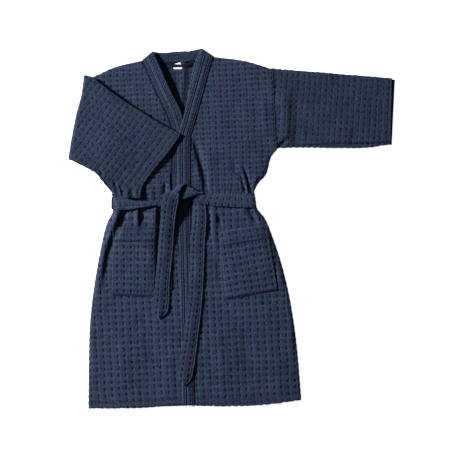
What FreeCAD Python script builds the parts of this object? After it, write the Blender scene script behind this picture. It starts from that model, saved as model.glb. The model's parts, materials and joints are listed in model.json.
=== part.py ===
import FreeCAD, Part
import math
import os
import re

import Sketcher
from FreeCAD import Placement, Rotation, Vector

# A kimono bathrobe of waffle cotton, tied at the waist and lying on its back.
# X runs across the robe, Y up its centre line towards the collar, Z out of its front.
# The origin is on the centre line at the belt, on the underside of the back panel.
# The wearer's left side is +X. The wearer's right sleeve is folded over the chest.

# Driving dimensions, in millimetres: alias and value.
DIMENSIONS = [
    # cloth and the room between its layers
    ("cloth", 2.4),            # one layer of waffle cloth
    ("back_cloth", 4.4),       # the back panel, which the belt is let into
    ("band_cloth", 3.2),       # the doubled front band
    ("belt_cloth", 2.4),       # the belt, two plies
    ("belt_back_cloth", 2.0),  # the belt pressed flat under the back
    ("hollow", 5.0),           # room inside body and sleeves
    ("sleeve_room", 7.0),
    ("pocket_room", 4.6),
    ("edge", 5.0),             # cloth that turns down at a side, shoulder or sleeve edge
    ("gap", 0.6),              # clear between pieces that move past each other
    # the body
    ("skirt", 632.0),          # belt to hem
    ("hem_half", 328.0),
    ("calf_half", 320.0),
    ("knee_half", 308.0),
    ("thigh_half", 288.0),
    ("hip_half", 262.0),
    ("waist_half", 214.0),
    ("ribs_half", 253.0),
    ("chest_half", 292.0),
    ("armhole_low", 142.0),
    ("armhole_high", 387.0),
    ("shoulder_high", 434.0),
    ("neck_half", 110.0),
    ("neck_seam", 424.0),
    ("collar_top", 460.0),
    # the crossed fronts
    ("band_width", 42.0),
    ("cross_x", 7.0),          # the point of the V neck
    ("cross_y", 257.0),
    ("lap_edge", 18.0),        # free edge of the outer front, right of centre at the belt
    ("lap_edge_hem", 38.0),
    # sleeves
    ("sleeve_end", 655.0),
    ("cuff_low", 137.0),
    ("cuff_high", 339.0),
    ("fold_low_x", 352.0),     # the line the right sleeve is folded on
    ("fold_high_x", 300.0),
    ("cuff_folded_x", 138.0),
    ("cuff_folded_low", 26.0),
    ("cuff_folded_high", 204.0),
    # belt
    ("belt_width", 48.0),
    ("belt_left_y", -12.0),    # height of the belt's middle where it goes round each side
    ("belt_right_y", 7.0),
    ("hinge_y", -24.0),        # where the tails leave the knot
    ("short_tail", 333.0),
    ("long_tail", 541.0),
    # pockets
    ("pocket_width", 150.0),
    ("pocket_depth", 208.0),
    # small trim
    ("label_width", 35.0),
    ("label_height", 23.0),
    ("loop_half", 38.0),
    ("loop_drop", 17.0),
    ("loop_tape", 6.0),
    ("tie_width", 12.0),
    ("tie_length", 250.0),
]

os.makedirs("parts", exist_ok=True)
doc = FreeCAD.newDocument("Bathrobe")
sheet = doc.addObject("Spreadsheet::Sheet", "Dims")
for row, (alias, value) in enumerate(DIMENSIONS, 1):
    sheet.set(f"A{row}", str(value))
    sheet.setAlias(f"A{row}", alias)
doc.recompute()

pieces = []


def bound(text):
    """An expression in the sheet's aliases, written out for setExpression."""
    return re.sub(r"[a-z_]+", r"Dims.\g<0>", text)


def new_piece(label, bottom):
    """A body for one piece, whose own zero height is at bottom."""
    body = doc.addObject("PartDesign::Body", label)
    body.Label = label
    body.Placement = Placement(Vector(0, 0, 0), Rotation())
    body.setExpression("Placement.Base.z", bound(bottom))
    pieces.append(body)
    return body


def outline(body, points, height="0"):
    """A closed sketch through points, each a pair of expressions, parallel to the floor."""
    sketch = body.newObject("Sketcher::SketchObject", body.Name + "_outline")
    floor = [f for f in body.Origin.OriginFeatures if f.Role == "XY_Plane"][0]
    sketch.AttachmentSupport = [(floor, "")]
    sketch.MapMode = "FlatFace"
    sketch.setExpression("AttachmentOffset.Base.z", bound(height))
    count = len(points)
    start = [
        Vector(300 * math.cos(2 * math.pi * i / count), 300 * math.sin(2 * math.pi * i / count), 0)
        for i in range(count)
    ]
    for i in range(count):
        sketch.addGeometry(Part.LineSegment(start[i], start[(i + 1) % count]), False)
    for i in range(count):
        sketch.addConstraint(Sketcher.Constraint("Coincident", i, 2, (i + 1) % count, 1))
    for i, (x, y) in enumerate(points):
        for kind, expression in (("DistanceX", x), ("DistanceY", y)):
            at = sketch.addConstraint(Sketcher.Constraint(kind, -1, 1, i, 1, 10.0))
            sketch.setExpression(f"Constraints[{at}]", bound(expression))
    return sketch


def pad(body, points, thickness, height="0"):
    """Thickens an outline upwards from height above the piece's own zero."""
    feature = body.newObject("PartDesign::Pad", body.Name + "_pad")
    feature.Profile = outline(body, points, height)
    feature.setExpression("Length", bound(thickness))
    return feature


def hollow(body, points, depth, height="0"):
    """Cuts an outline upwards from height, and makes sure that cloth came away."""
    doc.recompute()
    before = body.Shape.Volume
    feature = body.newObject("PartDesign::Pocket", body.Name + "_hollow")
    feature.Profile = outline(body, points, height)
    feature.Reversed = True
    feature.setExpression("Length", bound(depth))
    doc.recompute()
    if body.Shape.Volume > before - 1:
        raise RuntimeError(f"the hollow in {body.Label} cuts nothing")
    return feature


def mirrored(points):
    """The same outline on the other side of the centre line, still going round the same way."""
    return [(f"-({x})", y) for x, y in reversed(points)]


# ---- outlines shared by the back and the fronts, wearer's left side, from hem to armpit

def side(inset):
    """The side edge from hem to armpit, moved in by inset."""
    return [
        (f"hem_half - {inset}", "-skirt * 0.995"),
        (f"calf_half - {inset}", "-skirt * 0.7"),
        (f"knee_half - {inset}", "-skirt * 0.5"),
        (f"thigh_half - {inset}", "-skirt * 0.34"),
        (f"hip_half - {inset}", "-skirt * 0.19"),
        (f"waist_half + 27 - {inset}", "-skirt * 0.106"),
        (f"waist_half + 3 - {inset}", "-skirt * 0.062"),
        (f"waist_half - {inset}", "-10"),
        (f"waist_half + 2 - {inset}", "32"),
        (f"ribs_half - {inset}", "70"),
        (f"chest_half - 20 - {inset}", "armhole_low - 23"),
    ]


def shoulder(inset):
    """The shoulder edge from the armhole to the neck, moved down by inset."""
    return [
        ("chest_half", f"armhole_high - {inset}"),
        ("(chest_half + neck_half) * 0.48", f"shoulder_high - 13 - {inset}"),
        ("neck_half", f"shoulder_high - {inset}"),
    ]


FREE_EDGE = [  # the outer front's free edge, from the hem up to the collar's tip
    ("-lap_edge_hem", "-skirt"),
    ("-lap_edge - 8", "-skirt * 0.48"),
    ("-lap_edge", "32"),
    ("-lap_edge + 7", "194"),
    ("cross_x + 3", "cross_y + 3"),
    ("46", "neck_seam - 14"),
    ("75", "collar_top"),
]
OUTER_SEAM = [  # where the outer front's band is sewn on, from the neck down to the hem
    ("neck_half", "shoulder_high"),
    ("neck_half - 23", "armhole_high - 8"),
    ("band_width + 13", "cross_y + 16"),
    ("band_width - 6", "cross_y - 53"),
    ("band_width - 13", "cross_y - 65"),
    ("band_width - 21", "30"),
    ("band_width - 31", "-skirt * 0.486"),
    ("2", "-skirt"),
]
INNER_SEAM = [  # where the inner front's band is sewn on, from the hem up to the neck
    ("20", "-skirt"),
    ("-10", "-skirt * 0.475"),
    ("-lap_edge - 16", "30"),
    ("-lap_edge - 12", "cross_y - 26"),
    ("-neck_half", "shoulder_high"),
]


def make_back():
    """The back panel, hem to neck, with a shallow channel under it for the belt."""
    body = new_piece("back_panel", "0")
    left = side("0") + [("chest_half", "armhole_low")] + shoulder("0")
    pad(body, left + [("0", "neck_seam + 4")] + mirrored(left), "back_cloth")
    half = "(belt_width / 2 + gap * 3)"
    channel = [
        ("waist_half + 20", f"belt_left_y + {half}"),
        ("-waist_half - 20", f"belt_right_y + {half}"),
        ("-waist_half - 20", f"belt_right_y - {half}"),
        ("waist_half + 20", f"belt_left_y - {half}"),
    ]
    hollow(body, channel, "belt_back_cloth + 0.2")


def make_fronts():
    """The inner front, the outer front that laps over it, and the three lengths of band."""
    body = new_piece("front_panel_right", "back_cloth")
    outer = mirrored(side("0") + [("chest_half", "armhole_low")] + shoulder("0"))
    inner = mirrored(side("edge") + [("chest_half + 9", "armhole_low")] + shoulder("edge"))
    pad(body, outer + [("-hem_half * 0.5", "-skirt")] + INNER_SEAM[:-1], "hollow + cloth")
    inner[0] = ("-neck_half - 3", "shoulder_high - edge")
    below = [("-hem_half + edge", "-skirt - 9"), ("40", "-skirt - 9"), ("40", "shoulder_high")]
    hollow(body, inner + below, "hollow")

    body = new_piece("front_panel_left", "back_cloth")
    outer = side("0") + [("chest_half", "armhole_low")] + shoulder("0")
    inner = side("edge") + [("chest_half + 9", "armhole_low")] + shoulder("edge")
    inner[-1] = ("neck_half + 3", "shoulder_high - edge")
    pad(body, outer + OUTER_SEAM[1:], "hollow + cloth * 2")
    below = [("-30", "-skirt - 9"), ("hem_half - edge", "-skirt - 9")]
    hollow(body, [("-30", "shoulder_high")] + below + inner, "hollow + cloth")

    body = new_piece("front_band_right", "back_cloth + hollow")
    free = [("band_width + " + x, y) for x, y in INNER_SEAM[:3]]
    top = [("cross_x - 2", "cross_y"), ("-69", "collar_top - 12"), ("-76", "collar_top - 1")]
    pad(body, free + top + INNER_SEAM[::-1], "cloth")

    body = new_piece("front_band_left", "back_cloth + hollow + cloth")
    pad(body, FREE_EDGE + OUTER_SEAM, "band_cloth")

    body = new_piece("neck_band", "back_cloth")
    low = [("-neck_half", "shoulder_high"), ("-60", "neck_seam + 2"), ("0", "neck_seam"), ("60", "neck_seam + 2")]
    high = [("neck_half", "shoulder_high"), ("75", "collar_top + 2"), ("0", "collar_top - 5")]
    pad(body, low + high + [("-44", "collar_top - 10"), ("-76", "collar_top - 1")], "hollow")


def make_sleeves():
    """Each sleeve is a flattened tube. The right one is cut at the fold: its head stays on the body."""
    walls = "cloth * 2 + sleeve_room"

    body = new_piece("sleeve_left", "0")
    start = "(chest_half + gap * 2)"
    outer = [
        (start, "armhole_low"),
        ("sleeve_end - 60", "cuff_low - 4"),
        ("sleeve_end - 13", "cuff_low"),
        ("sleeve_end", "cuff_high"),
        (start, "armhole_high"),
    ]
    inner = [
        (f"{start} - 9", "armhole_low + edge"),
        ("sleeve_end + 9", "cuff_low + edge"),
        ("sleeve_end + 9", "cuff_high - edge"),
        (f"{start} - 9", "armhole_high - edge"),
    ]
    pad(body, outer, walls)
    hollow(body, inner, "sleeve_room", "cloth")

    body = new_piece("sleeve_right_head", "0")
    outer = [
        ("-chest_half - 1", "armhole_low"),
        ("-chest_half - 1", "armhole_high"),
        ("-fold_high_x", "armhole_high + 1"),
        ("-fold_low_x", "armhole_low + 1"),
    ]
    inner = [
        ("-chest_half + 9", "armhole_low + edge"),
        ("-chest_half + 9", "armhole_high - edge"),
        ("-fold_high_x - 9", "armhole_high - edge"),
        ("-fold_low_x - 9", "armhole_low + edge + 1"),
    ]
    pad(body, outer, walls)
    hollow(body, inner, "sleeve_room", "cloth")

    body = new_piece("sleeve_right", "back_cloth + hollow + cloth + band_cloth + gap * 1.5")
    outer = [
        ("-fold_low_x + 3", "armhole_low"),
        ("-chest_half", "armhole_low - 28"),
        ("-chest_half + 34", "armhole_low - 50"),
        ("-chest_half + 66", "armhole_low - 91"),
        ("-cuff_folded_x", "cuff_folded_low"),
        ("-2", "cuff_folded_high"),
        ("-chest_half + 28", "armhole_high + 3"),
        ("-fold_high_x + 3", "armhole_high + 3"),
    ]
    inner = [
        ("-fold_low_x - 9", "armhole_low + edge"),
        ("-chest_half + 2", "armhole_low - 28 + edge * 1.2"),
        ("-chest_half + 37", "armhole_low - 50 + edge * 1.3"),
        ("-chest_half + 68", "armhole_low - 91 + edge * 1.3"),
        ("-cuff_folded_x + 9", "cuff_folded_low + edge"),
        ("30", "cuff_folded_high - 24 - edge"),
        ("-chest_half + 26", "armhole_high + 2 - edge"),
        ("-fold_high_x - 9", "armhole_high + 2 - edge"),
    ]
    pad(body, outer, walls)
    hollow(body, inner, "sleeve_room", "cloth")


def make_pocket(label, bottom, lean, middle, mouth_y):
    """A patch pocket, open at its upper edge: the cloth and its three sewn edges."""
    body = new_piece(label, bottom)
    half = "pocket_width / 2"
    rise = f"({lean})"
    outer = [
        (f"{middle} + {rise} * 1.3 - {half}", f"{mouth_y} - pocket_depth - {rise} * 0.5"),
        (f"{middle} + {rise} * 1.3 + {half}", f"{mouth_y} - pocket_depth + {rise} * 0.5"),
        (f"{middle} + {half}", f"{mouth_y} + {rise} * 0.5"),
        (f"{middle} - {half}", f"{mouth_y} - {rise} * 0.5"),
    ]
    signs = [(1, 1), (-1, 1), (-1, -1), (1, -1)]
    inner = [(f"{x} + {4 * sx}", f"{y} + {4 if sy > 0 else 9}") for (x, y), (sx, sy) in zip(outer, signs)]
    pad(body, outer, "pocket_room + cloth")
    hollow(body, inner, "pocket_room")


def make_belt():
    """One belt, in the lengths it shows as: round the back, up each side, to the knot, and two tails."""
    half = "belt_width / 2"
    body = new_piece("belt_back", "0")
    ends = [
        ("waist_half + 2", f"belt_left_y + {half}"),
        ("-waist_half - 2", f"belt_right_y + {half}"),
        ("-waist_half - 2", f"belt_right_y - {half}"),
        ("waist_half + 2", f"belt_left_y - {half}"),
    ]
    pad(body, ends, "belt_back_cloth")

    front = "back_cloth + hollow + cloth * 2 + 0.2"
    for label, sign, middle in (("left", "", "belt_left_y"), ("right", "-", "belt_right_y")):
        body = new_piece(f"belt_side_{label}", "0")
        inner, outer = f"{sign}(waist_half + 9)", f"{sign}(waist_half + 9 + belt_cloth)"
        plate = [
            (inner, f"{middle} - {half}"),
            (outer, f"{middle} - {half}"),
            (outer, f"{middle} + {half}"),
            (inner, f"{middle} + {half}"),
        ]
        pad(body, plate, front + " + belt_cloth")

    body = new_piece("belt_front_left", front)
    run = [
        ("68", "belt_left_y - 6"),
        ("waist_half + 9", f"belt_left_y - {half}"),
        ("waist_half + 9", f"belt_left_y + {half}"),
        ("50", "belt_left_y + 31"),
    ]
    pad(body, run, "belt_cloth")

    body = new_piece("belt_front_right", front)
    run = [
        ("-waist_half - 9", f"belt_right_y - {half}"),
        ("-lap_edge - 4", "belt_right_y - 26"),
        ("-lap_edge - 4", "belt_right_y - 5"),
        ("-waist_half - 9", f"belt_right_y + {half}"),
    ]
    pad(body, run, "belt_cloth")

    body = new_piece("belt_knot", front + " + belt_cloth")
    base = [("-64", "-16"), ("56", "-16"), ("66", "12"), ("20", "38"), ("-6", "46"), ("-24", "34"), ("-66", "19")]
    crown = [("-12", "0"), ("34", "2"), ("46", "14"), ("14", "32"), ("-6", "36"), ("-16", "24")]
    pad(body, base, "belt_cloth * 3")
    top = pad(body, crown, "belt_cloth * 3.6", "belt_cloth * 3")
    doc.recompute()
    round_edge = body.newObject("PartDesign::Chamfer", "belt_knot_chamfer")
    round_edge.Base = (top, [highest_face(body.Shape)])
    round_edge.Size = 4

    body = new_piece("belt_tail_right", "back_cloth + hollow + cloth + 1.4")
    tail = [
        ("-70", "hinge_y"),
        ("-112", "hinge_y - short_tail + 22"),
        ("-95", "hinge_y - short_tail"),
        ("-70", "hinge_y - short_tail + 17"),
        ("-44", "hinge_y - 124"),
        ("-26", "hinge_y"),
    ]
    pad(body, tail, "belt_cloth")

    body = new_piece("belt_tail_left", "back_cloth + hollow + cloth + band_cloth + gap")
    tail = [
        ("25", "hinge_y"),
        ("-1", "hinge_y - 261"),
        ("-46", "hinge_y - long_tail + 22"),
        ("-27", "hinge_y - long_tail"),
        ("-3", "hinge_y - long_tail + 23"),
        ("41", "hinge_y - 263"),
        ("62", "hinge_y"),
    ]
    pad(body, tail, "belt_cloth")


def highest_face(shape):
    """The name of the face that lies highest."""
    heights = [face.CenterOfMass.z for face in shape.Faces]
    return "Face" + str(heights.index(max(heights)) + 1)


def make_trim():
    """Belt carriers at the side seams, the hanging loop, the blank label and the inner tie."""
    for label, sign, middle in (("left", "", "belt_left_y"), ("right", "-", "belt_right_y")):
        body = new_piece(f"belt_loop_{label}", "3")
        reach = "(belt_width / 2 + 6)"
        near, far = "(waist_half + 8.5)", "(waist_half + 9 + belt_cloth + gap)"
        strap = [
            (f"{sign}{near}", f"{middle} - {reach} - 1.6"),
            (f"{sign}({far} + 1.6)", f"{middle} - {reach} - 1.6"),
            (f"{sign}({far} + 1.6)", f"{middle} + {reach} + 1.6"),
            (f"{sign}{near}", f"{middle} + {reach} + 1.6"),
            (f"{sign}{near}", f"{middle} + {reach}"),
            (f"{sign}{far}", f"{middle} + {reach}"),
            (f"{sign}{far}", f"{middle} - {reach}"),
            (f"{sign}{near}", f"{middle} - {reach}"),
        ]
        pad(body, strap, "8")

    body = new_piece("hanging_loop", "back_cloth + 1.6")
    top = "(neck_seam - 3)"
    strap = [
        ("-loop_half", top),
        ("-loop_half + 6", f"{top} - loop_drop"),
        ("loop_half - 6", f"{top} - loop_drop"),
        ("loop_half", top),
        ("loop_half - loop_tape", top),
        ("loop_half - loop_tape - 5", f"{top} - loop_drop + loop_tape"),
        ("-loop_half + loop_tape + 5", f"{top} - loop_drop + loop_tape"),
        ("-loop_half + loop_tape", top),
    ]
    pad(body, strap, "1.6")

    body = new_piece("neck_label", "back_cloth")
    tag = [
        ("-label_width / 2", "neck_seam - 1 - label_height"),
        ("label_width / 2", "neck_seam - 1 - label_height"),
        ("label_width / 2", "neck_seam - 1"),
        ("-label_width / 2", "neck_seam - 1"),
    ]
    pad(body, tag, "0.8")

    body = new_piece("inner_tie", "back_cloth + hollow + cloth + gap / 2")
    tape = [
        ("-44 - tie_width", "hinge_y - 2"),
        ("-51 - tie_width", "hinge_y - 2 - tie_length"),
        ("-51", "hinge_y - 2 - tie_length"),
        ("-44", "hinge_y - 2"),
    ]
    pad(body, tape, "0.8")


make_back()
make_fronts()
make_sleeves()
make_pocket("pocket_right", "back_cloth + hollow + cloth", "-18", "-160", "-75")
make_pocket("pocket_left", "back_cloth + hollow + cloth * 2", "22", "171", "-95")
make_belt()
make_trim()
doc.recompute()

for thing in doc.Objects:
    if "Invalid" in thing.State or "Error" in thing.State:
        raise RuntimeError(f"{thing.Label} failed: {thing.State}")
for body in pieces:
    if body.Shape.isNull() or not body.Shape.isValid() or len(body.Shape.Solids) != 1:
        raise RuntimeError(f"{body.Label} isn't one valid solid")
for body in pieces:
    body.Shape.exportStep(f"parts/{body.Label}.step")
    box = body.Shape.BoundBox
    print(
        f"{body.Label}: x {box.XMin:.0f}..{box.XMax:.0f} y {box.YMin:.0f}..{box.YMax:.0f}"
        f" z {box.ZMin:.1f}..{box.ZMax:.1f}, {body.Shape.Volume / 1000:.1f} cm3"
    )
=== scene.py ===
import json
import math

import bpy
import numpy as np
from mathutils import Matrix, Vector
from mathutils.bvhtree import BVHTree


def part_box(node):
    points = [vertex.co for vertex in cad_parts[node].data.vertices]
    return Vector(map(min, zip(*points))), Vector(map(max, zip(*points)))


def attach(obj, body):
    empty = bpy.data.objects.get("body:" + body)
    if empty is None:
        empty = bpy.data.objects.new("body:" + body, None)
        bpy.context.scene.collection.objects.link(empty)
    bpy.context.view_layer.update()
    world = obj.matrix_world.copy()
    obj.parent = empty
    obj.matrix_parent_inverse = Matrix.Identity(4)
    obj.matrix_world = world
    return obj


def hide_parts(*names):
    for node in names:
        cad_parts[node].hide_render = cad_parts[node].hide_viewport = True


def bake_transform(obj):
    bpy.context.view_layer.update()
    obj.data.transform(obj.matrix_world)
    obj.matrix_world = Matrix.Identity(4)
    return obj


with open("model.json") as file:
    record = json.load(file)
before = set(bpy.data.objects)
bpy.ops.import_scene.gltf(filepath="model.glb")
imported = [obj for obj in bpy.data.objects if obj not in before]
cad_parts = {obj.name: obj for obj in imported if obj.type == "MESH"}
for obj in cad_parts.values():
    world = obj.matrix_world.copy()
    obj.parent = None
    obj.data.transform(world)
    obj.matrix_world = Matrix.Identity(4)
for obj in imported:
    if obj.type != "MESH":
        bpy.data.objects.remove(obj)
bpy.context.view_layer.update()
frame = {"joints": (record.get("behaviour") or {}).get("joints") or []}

# The robe lies on its back. X runs to the wearer's left, Y up the centre line to the collar, Z out of the
# front.
MM = 0.001


def node_box(node):
    """A CAD node's lowest and highest corners, in millimetres."""
    low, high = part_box(node)
    return np.array(low) / MM, np.array(high) / MM


INNER_TOP = node_box("front_panel_right")[1][2]
OUTER_LOW, OUTER_HIGH = node_box("front_panel_left")
OUTER_TOP = OUTER_HIGH[2]
SLEEVE_LOW, SLEEVE_HIGH = node_box("sleeve_left")
BELT_TOP = node_box("belt_front_left")[1][2]
HEM_Y = OUTER_LOW[1]
HEM_HALF = OUTER_HIGH[0]
ARMHOLE = SLEEVE_LOW[0] - 1.2  # the armhole seams lie this far from the centre line
ARMPIT_Y = 143
CUFF_X = SLEEVE_HIGH[0]
HINGES = {j["name"]: j for j in frame["joints"]}

CLOTH = 2.6  # thickness of one layer
STEP = 2.7  # spacing of a cloth's mesh
HIDDEN_STEP = 5.0  # spacing where the cloth is hardly seen
BODY_CELL = (21.6, 19.9)  # the weave's repeat in the body: across the slots, along them
SLEEVE_CELL = (17.4, 19.3)
BELT_CELL = (18.6, 20.0)
TAIL_CELL = (21.0, 17.9)
BAND_CELL = (10.5, 12.5)


# ---- camera, lights and floor

def look_down():
    """A long lens straight above the robe, which leans a little in the frame."""
    view_width, lens, sensor, lean = 1407.6, 90.0, 36.0, math.radians(2.78)
    middle, cloth_top = (134.6, -98.4), 12
    data = bpy.data.cameras.new("camera")
    data.sensor_width = sensor
    data.lens = lens
    data.clip_start, data.clip_end = 0.1, 20
    camera = bpy.data.objects.new("camera", data)
    bpy.context.scene.collection.objects.link(camera)
    height = view_width / sensor * lens
    camera.location = Vector((*middle, 0)) * MM + Vector((0, 0, (height + cloth_top) * MM))
    camera.rotation_euler = (0, 0, -lean)
    bpy.context.scene.camera = camera


def polar(bearing, height, distance):
    """A place at a distance from the origin, at a bearing from +X and a height, in degrees."""
    b, h = math.radians(bearing), math.radians(height)
    level = distance * math.cos(h)
    return level * math.cos(b), level * math.sin(b), distance * math.sin(h)


def lamp(name, size, power, place):
    """A round soft lamp at a place, turned to the middle of the robe."""
    target = (0.05, 0.0, 0.0)
    data = bpy.data.lights.new(name, "AREA")
    data.shape = "DISK"
    data.size = size
    data.energy = power
    item = bpy.data.objects.new(name, data)
    item.location = place
    item.rotation_mode = "QUATERNION"
    item.rotation_quaternion = (Vector(target) - Vector(place)).to_track_quat("-Z", "Y")
    bpy.context.scene.collection.objects.link(item)


def studio():
    """A low key lamp from the left, a weak fill, a dim room and a pale floor."""
    lamp("key", 0.8, 830, polar(157, 25, 6.0))
    lamp("fill", 3.0, 5, polar(120, 70, 4.0))
    world = bpy.data.worlds.new("room")
    world.use_nodes = True
    background = world.node_tree.nodes["Background"]
    background.inputs["Color"].default_value = (0.93, 0.96, 1.0, 1)
    background.inputs["Strength"].default_value = 0.06
    bpy.context.scene.world = world
    bpy.context.scene.view_settings.view_transform = "Standard"
    side = 6.0
    corners = [(-side, -side, 0), (side, -side, 0), (side, side, 0), (-side, side, 0)]
    mesh = bpy.data.meshes.new("floor")
    mesh.from_pydata(corners, [], [(0, 1, 2, 3)])
    floor = bpy.data.objects.new("floor", mesh)
    bpy.context.scene.collection.objects.link(floor)
    plain = bpy.data.materials.new("pale_floor")
    plain.use_nodes = True
    shader = plain.node_tree.nodes["Principled BSDF"]
    shader.inputs["Base Color"].default_value = (0.93, 0.93, 0.93, 1)
    shader.inputs["Roughness"].default_value = 0.8
    shader.inputs["Emission Color"].default_value = (1, 1, 1, 1)
    shader.inputs["Emission Strength"].default_value = 0.93
    mesh.materials.append(plain)


look_down()
studio()


# ---- shapes in plan

def curve(points, step=2.0, closed=True):
    """A line through points, round except where a point has a third value, which marks a corner."""
    count = len(points)
    xy = np.array([p[:2] for p in points], float)
    sharp = [len(p) > 2 for p in points]
    if not closed:
        sharp[0] = sharp[-1] = True
    made = []
    for i in range(count if closed else count - 1):
        a, b = xy[i], xy[(i + 1) % count]
        before = a if sharp[i] else xy[i - 1]
        after = b if sharp[(i + 1) % count] else xy[(i + 2) % count]
        run = np.linalg.norm(b - a)
        ta = (b - before) / max(np.linalg.norm(b - before), 1e-9) * run
        tb = (after - a) / max(np.linalg.norm(after - a), 1e-9) * run
        n = max(1, int(round(run / step)))
        t = np.arange(n)[:, None] / n
        made.append((2 * t**3 - 3 * t**2 + 1) * a + (t**3 - 2 * t**2 + t) * ta
                    + (3 * t**2 - 2 * t**3) * b + (t**3 - t**2) * tb)
    if not closed:
        made.append(xy[-1:])
    return np.concatenate(made)


def open_line(points, step):
    """A round line through points that does not close."""
    return curve(points, step, closed=False)


def to_line(points, line, closed=False):
    """For each point: its distance to a line, the nearest place on it, and how far along that is, 0 to 1."""
    a = line
    b = np.roll(line, -1, 0)
    if not closed:
        a, b = a[:-1], b[:-1]
    ab = b - a
    size = np.maximum((ab**2).sum(1), 1e-12)
    lengths = np.sqrt(size)
    before = np.concatenate([[0], np.cumsum(lengths)])[:-1]
    best = np.full(len(points), 1e18)
    near = np.zeros((len(points), 2))
    along = np.zeros(len(points))
    for i in range(len(a)):
        t = np.clip(((points - a[i]) @ ab[i]) / size[i], 0, 1)
        q = a[i] + t[:, None] * ab[i]
        d = ((points - q) ** 2).sum(1)
        m = d < best
        best[m], near[m], along[m] = d[m], q[m], before[i] + t[m] * lengths[i]
    return np.sqrt(best), near, along / lengths.sum()


def gap_to(points, line, closed=False):
    """Each point's distance to a line."""
    return to_line(points, line, closed)[0]


def inside(points, polygon):
    """Whether each point lies inside a polygon."""
    x, y = points[:, 0], points[:, 1]
    found = np.zeros(len(points), bool)
    for (ax, ay), (bx, by) in zip(polygon, np.roll(polygon, -1, 0)):
        if ay == by:
            continue
        cross = ((ay > y) != (by > y)) & (x < (bx - ax) * (y - ay) / (by - ay) + ax)
        found ^= cross
    return found


def level_at(height):
    """A flat surface at a height."""
    return lambda points: np.full(len(points), height)


def smooth(t):
    """An eased step: 0 up to 0, and 1 from 1 on."""
    t = np.clip(t, 0, 1)
    return t * t * (3 - 2 * t)


def bell(distance, width):
    """1 where the distance is 0, falling off on both sides over a width."""
    return np.exp(-((distance / width) ** 2))


def unit(vectors):
    """Vectors of length one, the same ways."""
    return vectors / np.maximum(np.linalg.norm(vectors, axis=-1, keepdims=True), 1e-9)


def sideways(ways):
    """Directions in plan, a quarter turn to the left."""
    return np.stack([-ways[:, 1], ways[:, 0]], -1)


def run_along(line):
    """How far along a line each of its points lies."""
    return np.concatenate([[0], np.cumsum(np.linalg.norm(np.diff(line, axis=0), axis=1))])


def resample(line, count):
    """A line as so many evenly spaced points."""
    line = np.asarray(line, float)
    run = run_along(line)
    at = np.linspace(0, run[-1], count)
    return np.stack([np.interp(at, run, line[:, k]) for k in range(line.shape[1])], -1)


def beside(line, away):
    """The same line moved sideways, to its left when away is positive."""
    return line + away * sideways(unit(np.gradient(line, axis=0)))


# ---- the lie of the cloth

SIDE_LEFT = [(HEM_HALF, HEM_Y + 3), (321, -450), (308, -321), (288, -213), (262, -120), (243, -68),
             (221, -36), (214, 10), (228, 40), (253, 66), (271, 118)]
SIDE_RIGHT = [(-HEM_HALF + 2, HEM_Y + 8), (-317, -475), (-307, -353), (-286, -231), (-261, -125),
              (-248, -78), (-238, -53), (-221, -22), (-221, 30), (-236, 52), (-262, 95), (-275, 118)]
BELT_LINE = np.array([(-240.0, 8.0), (-60.0, -4.0), (30.0, 4.0), (68.0, 4.0), (235.0, -13.0)])

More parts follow.
